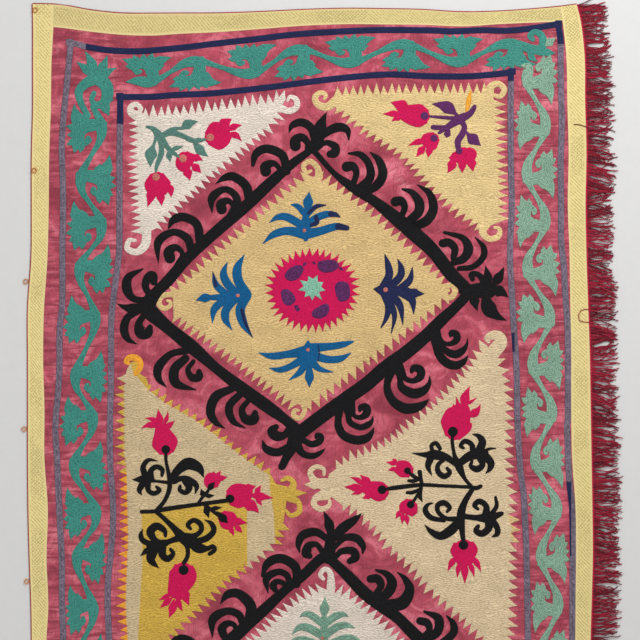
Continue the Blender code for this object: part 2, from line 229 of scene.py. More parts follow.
# A material with one Principled shader, and the nodes that feed it
class Paint:
    def __init__(self, name, **constants):
        self.material = bpy.data.materials.new(name)
        self.material.use_nodes = True
        self.tree = self.material.node_tree
        self.shader = self.tree.nodes["Principled BSDF"]
        for socket, value in constants.items():
            self.shader.inputs[socket.replace("_", " ")].default_value = value

    # Any node: its settings first, then the values or wires of its sockets
    def node(self, kind, settings=None, inputs=None, output=0):
        made = self.tree.nodes.new(kind)
        for key, value in (settings or {}).items():
            setattr(made, key, value)
        for key, value in (inputs or {}).items():
            self.link(made.inputs[key], value)
        return Wire(self, made.outputs[output])

    def link(self, socket, value):
        if isinstance(value, Wire):
            self.tree.links.new(value.socket, socket)
        elif isinstance(value, tuple) and len(value) == 3 and socket.type == "RGBA":
            socket.default_value = (*value, 1)
        else:
            socket.default_value = value

    def maths(self, operation, *values):
        return self.node("ShaderNodeMath", {"operation": operation}, dict(enumerate(values)))

    def feed(self, socket, value):
        self.link(self.shader.inputs[socket], value)

    def place(self):
        return self.node("ShaderNodeTexCoord", output="Object")

    def axis(self, vector, name):
        return self.node("ShaderNodeSeparateXYZ", inputs={0: vector}, output=name)

    def attribute(self, name):
        return self.node("ShaderNodeAttribute", {"attribute_name": name}, output="Fac")

    def scaled(self, vector, x, y, z=1.0):
        return self.node("ShaderNodeMapping", inputs={"Vector": vector, "Scale": (x, y, z)})

    def noise(self, vector, scale, detail=2.0, rough=0.5, distortion=0.0):
        inputs = {"Vector": vector, "Scale": scale, "Detail": detail, "Roughness": rough}
        inputs["Distortion"] = distortion
        return self.node("ShaderNodeTexNoise", inputs=inputs)

    # The same noise, drawn out along X or Y by its own scale on each
    def streaks(self, place, x, y, *settings):
        return self.noise(self.scaled(place, x, y), 1.0, *settings)

    def mix(self, factor, first, second):
        inputs = {0: factor, 6: first, 7: second}
        return self.node("ShaderNodeMix", {"data_type": "RGBA"}, inputs, output=2)

    # A soft step from 0 at low to 1 at high
    def ramp(self, value, low, high):
        settings = {"interpolation_type": "SMOOTHSTEP"}
        return self.node("ShaderNodeMapRange", settings, {0: value, 1: low, 2: high, 3: 0.0, 4: 1.0})

    def bump(self, height, distance, strength=1.0):
        inputs = {"Height": height, "Distance": distance, "Strength": strength}
        self.feed("Normal", self.node("ShaderNodeBump", inputs=inputs))


def tint(colour, share):
    return tuple(min(1.0, channel * share) for channel in colour)


def deselectAll():
    if bpy.context.object and bpy.context.object.mode != "OBJECT":
        bpy.ops.object.mode_set(mode="OBJECT")
    bpy.ops.object.select_all(action="DESELECT")


def makeActive(thing):
    deselectAll()
    thing.select_set(True)
    bpy.context.view_layer.objects.active = thing


def addObject(name, data):
    thing = bpy.data.objects.new(name, data)
    bpy.context.scene.collection.objects.link(thing)
    return thing


# A place measured from the cloth's own middle, as seen from the part's origin
def fromOrigin(x, y):
    return x - cloth["middle"][0], y - cloth["middle"][1]


def setPoints(thing, x, y, z):
    thing.data.vertices.foreach_set("co", np.stack([*fromOrigin(x, y), z], axis=1).ravel())
    thing.data.update()


def getPoints(thing):
    places = np.empty(len(thing.data.vertices) * 3)
    thing.data.vertices.foreach_get("co", places)
    return places.reshape(-1, 3)


def setFloat(thing, name, values):
    layer = thing.data.attributes.new(name, "FLOAT", "POINT")
    layer.data.foreach_set("value", np.asarray(values, np.float32))


# A flat sheet pulled up into a slab by its thickness, as a closed mesh
def thicken(thing, drop):
    makeActive(thing)
    bpy.ops.object.mode_set(mode="EDIT")
    bpy.ops.mesh.select_all(action="SELECT")
    bpy.ops.mesh.extrude_region_move(TRANSFORM_OT_translate={"value": (0, 0, drop)})
    bpy.ops.mesh.select_all(action="SELECT")
    bpy.ops.mesh.normals_make_consistent(inside=False)
    bpy.ops.object.mode_set(mode="OBJECT")


def finishPiece(thing, material):
    thing.data.materials.clear()
    thing.data.materials.append(material)
    makeActive(thing)
    bpy.ops.object.shade_smooth_by_angle(angle=math.radians(50))
    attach(thing, "root")
    return thing


# Camera and light

view = {
    "height": 5.0,
    "sensor": 36.0,
    "keyPower": 95.0,
    "keyPlace": (1.5, 3.0, 2.3),
    "keySize": 1.6,
    "fillPower": 28.0,
    "fillSize": 3.0,
    "fillPlace": (-2.6, -0.6, 3.2),
    "sky": 0.62,
    "floorSize": 9.0,
    "floorGrey": 0.62,
}


def aimAt(thing, target):
    direction = np.array(target) - np.array(thing.location)
    flat = math.hypot(direction[0], direction[1])
    thing.rotation_euler = (math.atan2(flat, -direction[2]), 0, math.atan2(-direction[0], direction[1]))


def addLight(name, place, size, power, target):
    lamp = bpy.data.lights.new(name, "AREA")
    lamp.size = size
    lamp.energy = power
    thing = addObject(name, lamp)
    thing.location = place
    aimAt(thing, target)


def setStage():
    target = (*fromOrigin(*onCloth(photo["frame"] / 2, photo["frame"] / 2)), 0.0)
    lens = bpy.data.cameras.new("camera")
    lens.sensor_width = view["sensor"]
    lens.lens = view["sensor"] * view["height"] / (photo["frame"] * photo["pixel"])
    camera = addObject("camera", lens)
    camera.location = (target[0], target[1], view["height"])
    bpy.context.scene.camera = camera
    addLight("keyLight", view["keyPlace"], view["keySize"], view["keyPower"], target)
    addLight("fillLight", view["fillPlace"], view["fillSize"], view["fillPower"], target)

    world = bpy.data.worlds.new("studio")
    world.use_nodes = True
    backdrop = world.node_tree.nodes["Background"]
    backdrop.inputs["Color"].default_value = (1.0, 0.99, 0.97, 1)
    backdrop.inputs["Strength"].default_value = view["sky"]
    bpy.context.scene.world = world
    bpy.context.scene.view_settings.view_transform = "Standard"

    deselectAll()
    bpy.ops.mesh.primitive_plane_add(size=view["floorSize"], location=(0, 0, -0.0004))
    floor = bpy.context.object
    floor.name = "floor"
    paint = Paint("floorPaint", Roughness=0.9)
    grain = paint.noise(paint.place(), 40.0, 4.0)
    grey = view["floorGrey"]
    paint.feed("Base Color", paint.mix(grain, (grey * 0.97,) * 3, (grey * 1.03,) * 3))
    floor.data.materials.append(paint.material)
    print("stage: camera, lights and floor")


setStage()


# The satin field

satin = {
    "columns": 108,
    "rows": 190,
    # The darkest and lightest of these are the satin's painted shade and painted highlight colours
    "shadeRose": (0.205, 0.010, 0.030),
    "rose": (0.455, 0.056, 0.098),
    "highlightRose": (0.70, 0.185, 0.240),
    "rough": 0.38,
    "sheen": 0.06,
}


def satinPaint():
    constants = {"Sheen_Weight": satin["sheen"], "Roughness": satin["rough"], "Specular_IOR_Level": 0.35}
    paint = Paint("roseSatin", **constants)
    place = paint.place()
    broad = paint.streaks(place, 6.0, 8.0, 3.0, 0.55, 0.4)
    pressed = paint.streaks(place, 15.0, 19.0, 3.0, 0.55, 1.2)
    creased = paint.streaks(place, 34.0, 15.0, 2.0, 0.5, 2.2)
    # Painted shade: broad and pressed noise darken the rose towards the painted shade colour, standing in for
    # the folds' shading
    tone = paint.ramp(broad * 0.4 + pressed * 0.6, 0.30, 0.62)
    shadedRose = paint.mix(tone, satin["shadeRose"], satin["rose"])
    # Painted highlight: pale pink patches where the pressed and broad noise are both high
    highlightMask = paint.ramp(pressed, 0.47, 0.66) * paint.ramp(broad, 0.36, 0.56)
    colour = paint.mix(highlightMask * 0.62, shadedRose, satin["highlightRose"])
    # Painted shade: narrow creases darkened towards the shade colour, and sunk a little in the bump
    creaseShade = paint.ramp((creased - 0.5).maths("ABSOLUTE"), 0.035, 0.0)
    colour = paint.mix(creaseShade * 0.42, colour, satin["shadeRose"])

    # Puckers run across the side strips, where the stitching has drawn them in; their furrows are darkened as
    # painted shade and their crests lightened as painted highlight
    x = paint.axis(place, "X")
    sideMask = paint.ramp((x + cloth["middle"][0]).maths("ABSOLUTE"), 0.40, 0.47)
    ripple = paint.streaks(place, 11.0, 84.0, 2.0, 0.5, 0.8)
    furrowShade = paint.ramp(ripple, 0.48, 0.36)
    fineFurrowShade = paint.ramp(paint.streaks(place, 20.0, 230.0, 2.0, 0.5, 0.4), 0.44, 0.34)
    crestHighlight = paint.ramp(ripple, 0.55, 0.68)
    colour = paint.mix(furrowShade * sideMask * 0.80, colour, satin["shadeRose"])
    colour = paint.mix(fineFurrowShade * sideMask * 0.55, colour, satin["shadeRose"])
    colour = paint.mix(crestHighlight * sideMask * 0.35, colour, satin["highlightRose"])
    # Fine streaks of the weave, lightened a little with the painted highlight colour
    weave = paint.streaks(place, 900.0, 260.0, 1.0)
    colour = paint.mix(weave * 0.14, colour, satin["highlightRose"])
    paint.feed("Base Color", colour)
    height = pressed * 0.6 + ripple * sideMask * 0.6 - creaseShade * 0.12 + weave * 0.03
    paint.bump(height, 0.0045, 1.0)
    return paint.material


def addGrid(name, columns, rows):
    deselectAll()
    bpy.ops.mesh.primitive_grid_add(x_subdivisions=columns, y_subdivisions=rows, size=1.0)
    thing = bpy.context.object
    thing.name = thing.data.name = name
    return thing, getPoints(thing)


# A grid over a stretch of the cloth, laid on its folds
def layGrid(name, acrossEnds, alongEnds, columns, rows, thickness):
    thing, unit = addGrid(name, columns, rows)
    gap = cloth["seamGap"] / 2
    across = acrossEnds[0] + gap + (unit[:, 0] + 0.5) * (acrossEnds[1] - acrossEnds[0] - 2 * gap)
    along = alongEnds[0] + gap + (unit[:, 1] + 0.5) * (alongEnds[1] - alongEnds[0] - 2 * gap)
    setFloat(thing, "across", across)
    setFloat(thing, "along", along)
    x, y = layCloth(across, along)
    setPoints(thing, x, y, foldHeight(x, y) + thickness)
    thicken(thing, -thickness)
    return thing


def makeSatin():
    reach = cloth["satinHalfWidth"]
    length = cloth["satinHalfLength"]
    ends = ((-reach, reach), (-length, length))
    sheet = layGrid("satinSheet", *ends, satin["columns"], satin["rows"], cloth["satinThick"])
    finishPiece(sheet, satinPaint())
    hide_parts("satin_field")
    print("satin field:", len(sheet.data.polygons), "faces")
    return sheet


satinSheet = makeSatin()


# The quilted cotton bands

bands = {
    "columns": 12,
    "pitch": 0.005,
    "cream": (0.70, 0.58, 0.255),
    "pale": (0.72, 0.57, 0.30),
    "thread": (0.50, 0.38, 0.115),
    "stain": (0.30, 0.17, 0.05),
    "hatchPitch": 0.0085,
    "crossPatch": 7.0,
    # Painted light: each band's cream is brightened or darkened by how light falls on it
    "paintedLight": {"bandLeft": 1.09, "bandRight": 1.04, "bandHead": 0.91, "bandFoot": 1.0},
}


# lengthways is the attribute that runs along the band, sideways the one
# across it; the band's outer edges are at low and high of sideways
def cottonPaint(name, lengthways, sideways, low, high):
    paint = Paint(name + "Cotton", Roughness=0.85, Sheen_Weight=0.03, Specular_IOR_Level=0.12)
    # The cream, with this band's painted light
    cream = tint(bands["cream"], bands["paintedLight"][name])
    place = paint.place()
    run = paint.attribute(lengthways)
    offset = paint.attribute(sideways)
    wobble = (paint.noise(place, 26.0, 2.0) - 0.5) * 0.010
    lines = []
    for lean in (1.0, -1.0):
        phase = ((run + offset * lean + wobble) / bands["hatchPitch"]).maths("FRACT")
        lines.append(paint.ramp((phase - 0.5).maths("ABSOLUTE"), 0.16, 0.04))
    patch = paint.ramp(paint.noise(place, bands["crossPatch"], 1.0), 0.50, 0.60)
    middle = paint.ramp(offset, low + 0.004, low + 0.007) * paint.ramp(offset, high - 0.004, high - 0.007)
    dashes = paint.ramp(paint.noise(place, 300.0, 1.0), 0.38, 0.56)
    stitch = (lines[0] + lines[1] * patch).maths("MINIMUM", 1.0) * middle * dashes
    edge = 1.0 - paint.ramp(offset, low + 0.002, low + 0.004) * paint.ramp(offset, high - 0.002, high - 0.004)
    mottle = paint.noise(place, 170.0, 3.0, 0.6)
    colour = paint.mix(mottle, tint(cream, 0.86), tint(cream, 1.10))
    age = paint.ramp(paint.noise(place, 9.0, 3.0), 0.50, 0.75)
    colour = paint.mix(age * 0.35, colour, tint(cream, 0.78))
    # The quilting lines: their thread colour, which also serves as painted shade in the quilted grooves
    colour = paint.mix(stitch * 0.50, colour, bands["thread"])
    spots = paint.ramp(paint.noise(place, 34.0, 4.0, 0.7), 0.69, 0.75)
    colour = paint.mix(spots * 0.45, colour, bands["stain"])
    colour = paint.mix(edge * 0.6, colour, bands["pale"])
    paint.feed("Base Color", colour)
    paint.bump(mottle * 0.25 - stitch * 0.7 + edge * 0.2, 0.0018, 1.0)
    return paint.material


def makeBands():
    outer = cloth["halfWidth"]
    inner = cloth["satinHalfWidth"]
    outerEnd = cloth["halfLength"]
    innerEnd = cloth["satinHalfLength"]
    rowsAlong = round(2 * outerEnd / bands["pitch"])
    rowsAcross = round(2 * inner / bands["pitch"])
    plans = [
        ("bandLeft", "band_left", (-outer, -inner), (-outerEnd, outerEnd), bands["columns"], rowsAlong),
        ("bandRight", "band_right", (inner, outer), (-outerEnd, outerEnd), bands["columns"], rowsAlong),
        ("bandHead", "band_head", (-inner, inner), (innerEnd, outerEnd), rowsAcross, bands["columns"]),
        ("bandFoot", "band_foot", (-inner, inner), (-outerEnd, -innerEnd), rowsAcross, bands["columns"]),
    ]
    made = []
    for name, node, acrossEnds, alongEnds, columns, rows in plans:
        band = layGrid(name, acrossEnds, alongEnds, columns, rows, cloth["bandThick"])
        if rows > columns:
            paint = cottonPaint(name, "along", "across", *acrossEnds)
            flat = (outer - inner, 2 * outerEnd)
        else:
            paint = cottonPaint(name, "across", "along", *alongEnds)
            flat = (2 * inner, outerEnd - innerEnd)
        finishPiece(band, paint)
        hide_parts(node)
        made.append(band)
    print("bands:", len(made))
    return made


makeBands()


# Embroidery tools: shapes are drawn in photo pixels, X right and Y down

stitch = {
    "spacing": 0.0036,     # between outline points
    "grid": 0.0066,        # between inner points
    "rowShare": 0.866,     # a row of them, as a share of that, for even triangles
    "rim": 0.0011,         # how far in from its edge the thread reaches full height
    "rimHeight": 0.45,     # the edge's share of that height
    "lift": 0.0010,        # the full height
    "sunk": 0.0003,
    "rowPitch": 0.0042,    # between rows of chain stitch
    "apart": 0.000016,     # between one piece and the next
    "heights": {"field": 0.0, "frame": 0.0004, "motif": 0.0008, "detail": 0.0016},
    "seed": 4,
}

chance = np.random.default_rng(stitch["seed"])


# A Catmull-Rom curve through control rows, with any number of columns
def throughPoints(rows, closed=False, step=1.3):
    rows = np.asarray(rows, float)
    if closed:
        padded = np.vstack([rows[-1], rows, rows[0], rows[1]])
    elif len(rows) == 2:
        count = max(2, int(np.hypot(*(rows[1] - rows[0])[:2]) / step) + 1)
        return rows[0] + np.linspace(0, 1, count)[:, None] * (rows[1] - rows[0])
    else:
        padded = np.vstack([2 * rows[0] - rows[1], rows, 2 * rows[-1] - rows[-2]])
    pieces = []
    for before, start, end, after in zip(padded, padded[1:], padded[2:], padded[3:]):
        count = max(2, int(np.hypot(*(end - start)[:2]) / step) + 1)
        t = np.linspace(0, 1, count, endpoint=False)[:, None]
        bend = (-before + 3 * start - 3 * end + after) * t ** 3
        bow = (2 * before - 5 * start + 4 * end - after) * t ** 2
        pieces.append(0.5 * (bend + bow + (end - before) * t + 2 * start))
    if not closed:
        pieces.append(rows[-1:])
    return np.vstack(pieces)


# The outline of a brush drawn through rows of x, y and width
def brush(*rows, rounded=True, step=1.3):
    line = throughPoints(rows, step=step)
    centre = line[:, :2]
    half = np.maximum(line[:, 2], 0.1) / 2
    heading = np.gradient(centre, axis=0)
    heading /= np.maximum(np.hypot(heading[:, 0], heading[:, 1]), 1e-6)[:, None]
    side = np.stack([-heading[:, 1], heading[:, 0]], axis=1)
    left = centre + side * half[:, None]
    right = centre - side * half[:, None]
    if not rounded:
        return np.vstack([left, right[::-1]])
    caps = []
    for spot, way, across, size in ((centre[-1], heading[-1], side[-1], half[-1]),
                                    (centre[0], -heading[0], -side[0], half[0])):
        turns = np.linspace(0, math.pi, max(2, int(size * 2.2)) + 2)[1:-1, None]
        caps.append(spot + (across * np.cos(turns) + way * np.sin(turns)) * size)
    return np.vstack([left, caps[0], right[::-1], caps[1]])


# A motif's shapes, where a list of rows of x, y and width is one stroke
def drawn(*items):
    return [brush(*item) if isinstance(item, list) else item for item in items]


def dot(x, y, radius):
    turns = np.linspace(0, 2 * math.pi, max(9, int(radius * 5)), endpoint=False)
    return np.stack([x + radius * np.cos(turns), y + radius * np.sin(turns)], axis=1)


# A leaf from its root to its tip; bend pushes its middle to one side
def leaf(root, tip, width, bend=0.0, fullest=0.4, point=0.0):
    root = np.array(root, float)
    tip = np.array(tip, float)
    sideways = np.array([root[1] - tip[1], tip[0] - root[0]]) * bend
    middle = root + (tip - root) * fullest + sideways
    late = root + (tip - root) * (0.5 + fullest / 2) + sideways * 0.85
    rows = [(*root, width * 0.25), (*middle, width), (*late, width * (0.55 + 0.12 * point)), (*tip, point)]
    return brush(*rows)


def blob(*points):
    return throughPoints(points, closed=True)


# A row of teeth along a path, on the left of its heading as the photo shows it
def teeth(path, pitch, depth, lean=0.0, curve=0.04, rough=0.16):
    path = np.asarray(path, float)
    steps = np.hypot(*np.diff(path, axis=0).T)
    reach = np.concatenate([[0.0], np.cumsum(steps)])
    count = max(1, round(reach[-1] / pitch))
    stops = np.linspace(0, reach[-1], count + 1)
    stops[1:-1] += chance.uniform(-rough, rough, count - 1) * pitch * 0.6

    def spot(at):
        return np.array([np.interp(at, reach, path[:, 0]), np.interp(at, reach, path[:, 1])])

    outline = []
    for start, end in zip(stops, stops[1:]):
        way = spot(end) - spot(start)
        size = max(np.hypot(*way), 1e-6)
        out = np.array([way[1], -way[0]]) / size
        high = depth * (1 + chance.uniform(-rough, rough))
        shift = lean + chance.uniform(-rough, rough) * 0.5
        peak = spot((start + end) / 2) + way * shift + out * high
        low, top = spot(start), spot(end)
        outline.append(low)
        outline.append(low + (peak - low) * 0.5 + (top - low) * curve * 0.5)
        outline.append(peak)
        outline.append(top + (peak - top) * 0.5 + (low - top) * curve * 0.5)
    return np.array(outline)


# A local drawing, x along and y to the side, turned and moved onto the photo
def placed(shape, origin, degrees=0.0):
    turn = math.radians(degrees)
    x = shape[:, 0] * math.cos(turn) - shape[:, 1] * math.sin(turn)
    y = shape[:, 0] * math.sin(turn) + shape[:, 1] * math.cos(turn)
    return np.stack([x + origin[0], y + origin[1]], axis=1)


# Whether points lie in a closed outline, by how often it winds round them
def insideOf(points, outline):
    found = np.zeros(len(points), bool)
    near = np.nonzero(np.all((points >= outline.min(axis=0)) & (points <= outline.max(axis=0)), axis=1))[0]
    if len(near) == 0:
        return found
    x = points[near, 0][:, None]
    y = points[near, 1][:, None]
    x0, y0 = outline[:, 0], outline[:, 1]
    x1, y1 = np.roll(x0, -1), np.roll(y0, -1)
    side = (x1 - x0) * (y - y0) - (x - x0) * (y1 - y0)
    rising = ((y0 <= y) & (y1 > y) & (side > 0)).sum(axis=1)
    falling = ((y0 > y) & (y1 <= y) & (side < 0)).sum(axis=1)
    found[near] = rising != falling
    return found


def nearestGap(points, borders):
    tree = KDTree(len(borders))
    for i, spot in enumerate(borders):
        tree.insert((spot[0], spot[1], 0.0), i)
    tree.balance()
    return np.array([tree.find((spot[0], spot[1], 0.0))[2] for spot in points])


# Outline points no further apart than the stitch spacing
def evenly(outline):
    ahead = np.roll(outline, -1, axis=0)
    pieces = []
    for start, end in zip(outline, ahead):
        size = np.hypot(*(end - start))
        if size < 1e-5:
            continue
        count = max(1, int(size / stitch["spacing"]))
        pieces.append(start + (end - start) * np.linspace(0, 1, count, endpoint=False)[:, None])
    return np.vstack(pieces)


# One embroidered piece: its outlines are joined, filled and laid on the satin
def embroider(name, shapes, paint, slot, low, grid=stitch["grid"], cuts=(), within=()):
    def metres(shape):
        shape = np.asarray(shape, float)
        return np.stack(onCloth(shape[:, 0], shape[:, 1]), axis=1)

    outlines = [metres(shape) for shape in shapes]
    holes = [metres(shape) for shape in cuts]
    limits = [metres(shape) for shape in within]

    def covered(points):
        found = np.zeros(len(points), bool)
        for outline in outlines:
            found |= insideOf(points, outline)
        for outline in holes:
            found &= ~insideOf(points, outline)
        if limits:
            found &= np.any([insideOf(points, outline) for outline in limits], axis=0)
        return found

    bounds = [evenly(outline) for outline in outlines + holes + limits]
    everyEdge = np.vstack(bounds)
    inner = []
    for outline in bounds[:len(outlines)]:
        ahead = np.roll(outline, -1, axis=0) - np.roll(outline, 1, axis=0)
        size = np.maximum(np.hypot(ahead[:, 0], ahead[:, 1]), 1e-9)[:, None]
        normal = np.stack([-ahead[:, 1], ahead[:, 0]], axis=1) / size
        inner.append(outline + normal * stitch["rim"])
        inner.append(outline - normal * stitch["rim"])
    inner = np.vstack(inner)
    first = everyEdge.min(axis=0)
    last = everyEdge.max(axis=0)
    xs = np.arange(first[0], last[0], grid)
    ys = np.arange(first[1], last[1], grid * stitch["rowShare"])
    meshX, meshY = np.meshgrid(xs, ys)
    meshX = meshX + (np.arange(len(ys)) % 2)[:, None] * grid / 2
    lattice = np.stack([meshX.ravel(), meshY.ravel()], axis=1)
    inner = inner[covered(inner)]
    lattice = lattice[covered(lattice)]
    inner = inner[nearestGap(inner, everyEdge) > stitch["rim"] * 0.8]
    if len(lattice):
        lattice = lattice[nearestGap(lattice, everyEdge) > stitch["rim"] * 2.2]

    edges = []
    start = 0
    for outline in bounds:
        ids = np.arange(len(outline)) + start
        edges += list(zip(ids.tolist(), np.roll(ids, -1).tolist()))
        start += len(outline)
    points = np.vstack([everyEdge, inner, lattice])
    result = delaunay_2d_cdt([Vector(spot) for spot in points], edges, [], 0, 2e-5, False)
    places = np.array([tuple(spot) for spot in result[0]])
    corners = np.array(result[2])
    corners = corners[covered(places[corners].mean(axis=1))]
    a, b, c = places[corners[:, 0]], places[corners[:, 1]], places[corners[:, 2]]
    turned = (b[:, 0] - a[:, 0]) * (c[:, 1] - a[:, 1]) - (b[:, 1] - a[:, 1]) * (c[:, 0] - a[:, 0])
    corners[turned < 0] = corners[turned < 0][:, ::-1]
    used, corners = np.unique(corners, return_inverse=True)
    corners = corners.reshape(-1, 3)
    places = places[used]

    # Points on the rim are those with an edge that only one face uses
    sides = np.sort(np.vstack([corners[:, :2], corners[:, 1:], corners[:, [2, 0]]]), axis=1)
    pairs, counts = np.unique(sides, axis=0, return_counts=True)
    onRim = np.zeros(len(places), bool)
    onRim[pairs[counts == 1].ravel()] = True
    gap = np.zeros(len(places))
    gap[~onRim] = nearestGap(places[~onRim], places[onRim])

    x, y = places[:, 0], places[:, 1]
    base = foldHeight(x, y) + cloth["satinThick"] + low
    rise = stitch["rimHeight"] + (1 - stitch["rimHeight"]) * softStep(gap / stitch["rim"])
    mesh = bpy.data.meshes.new(name)
    top = np.stack([*fromOrigin(x, y), base + stitch["lift"] * rise], axis=1)
    mesh.from_pydata(top.tolist(), [], corners.tolist())
    thing = addObject(name, mesh)
    setFloat(thing, "edge", gap)
    thicken(thing, -(stitch["lift"] + stitch["sunk"]))
    finishPiece(thing, paint)
    print("embroidery:", name, len(mesh.polygons), "faces")
    return thing


# Thread colours, as seen on the cloth

def fromScreen(red, green, blue):
    return tuple(((v / 255 + 0.055) / 1.055) ** 2.4 if v > 10 else v / 3294.6 for v in (red, green, blue))


threads = {
    "black": (17, 17, 20), "navy": (30, 37, 75), "violetGrey": (114, 102, 118),
    "teal": (62, 136, 125), "mint": (130, 164, 143), "cream": (213, 182, 126),
    "sand": (215, 192, 156), "beige": (202, 180, 142), "yellow": (205, 168, 72),
    "orange": (232, 158, 52), "white": (223, 211, 199), "straw": (219, 192, 136),
    "palePink": (222, 209, 196), "magenta": (198, 15, 80), "blue": (11, 87, 136),
    "plum": (90, 41, 92), "leafGreen": (84, 123, 113), "palmGreen": (116, 153, 133),
    "dustyPink": (190, 110, 100), "paleTeal": (130, 185, 160),
}


# Chain stitch: rows follow the shape's edge, or run along it on a ground
def threadPaint(name, colour, contrast=0.16, ground=False):
    paint = Paint(name, Roughness=0.72, Sheen_Weight=0.02, Specular_IOR_Level=0.14)
    base = fromScreen(*threads[colour])
    place = paint.place()
    patch = paint.streaks(place, 16.0, 22.0, 3.0, 0.6)
    if ground:
        wander = paint.streaks(place, 22.0, 30.0, 2.0, 0.5) * 0.036
        rows = (paint.axis(place, "Y") + wander) / (stitch["rowPitch"] * 1.1)
        dash = paint.streaks(place, 210.0, 400.0, 2.0, 0.6, 0.6)
    else:
        wander = paint.noise(place, 60.0, 2.0) * 0.006
        rows = (paint.attribute("edge") + wander) / stitch["rowPitch"]
        dash = paint.noise(place, 260.0, 2.0, 0.65, 0.5)
    wave = (rows * (2 * math.pi)).maths("SINE") * 0.5 + 0.5
    # Painted shade: the gaps between stitches darken towards a deep copy of the thread colour
    gap = paint.ramp(dash, 0.47, 0.34)
    tone = wave * 0.5 + dash * 0.5 + (patch - 0.5) * 0.7
    # Painted light and shade: a darker and a lighter copy of the thread, mixed by the rows' ridges and
    # furrows, the dashes and random patches of tone
    dark = tint(base, 1 - contrast * 1.2)
    bright = tint(base, 1 + contrast * 0.9)
    colour = paint.mix(paint.ramp(tone, 0.15, 0.95), dark, bright)
    colour = paint.mix(gap * min(0.9, contrast * 2.6), colour, tint(base, 0.42))
    paint.feed("Base Color", colour)
    paint.bump(wave * 0.5 + dash * 0.5 - gap * 0.4, 0.0009, 0.8)
    return paint.material


# Slots of the threads; the grounds' own threads share the cream one
threadSlots = {"black": "silk_black", "violetGrey": "silk_grey", "magenta": "silk_magenta",
               "dustyPink": "silk_magenta"}
threadSlots.update({name: "silk_blue" for name in ("navy", "blue", "plum")})
threadSlots.update({name: "silk_green" for name in ("teal", "mint", "leafGreen", "palmGreen", "paleTeal")})


sewn = []


# Each piece lies a hair higher than the one before, so that none share a face
def sew(name, colour, shapes, height="field", ground=False, contrast=0.18, **limits):
    low = stitch["heights"][height] + len(sewn) * stitch["apart"]
    sewn.append(name)
    paint = threadPaint(name + "Thread", colour, contrast, ground)
    slot = threadSlots.get(colour, "silk_cream")
    return embroider(name, shapes, paint, slot, low, **limits)


# The horned black frames round the diamonds

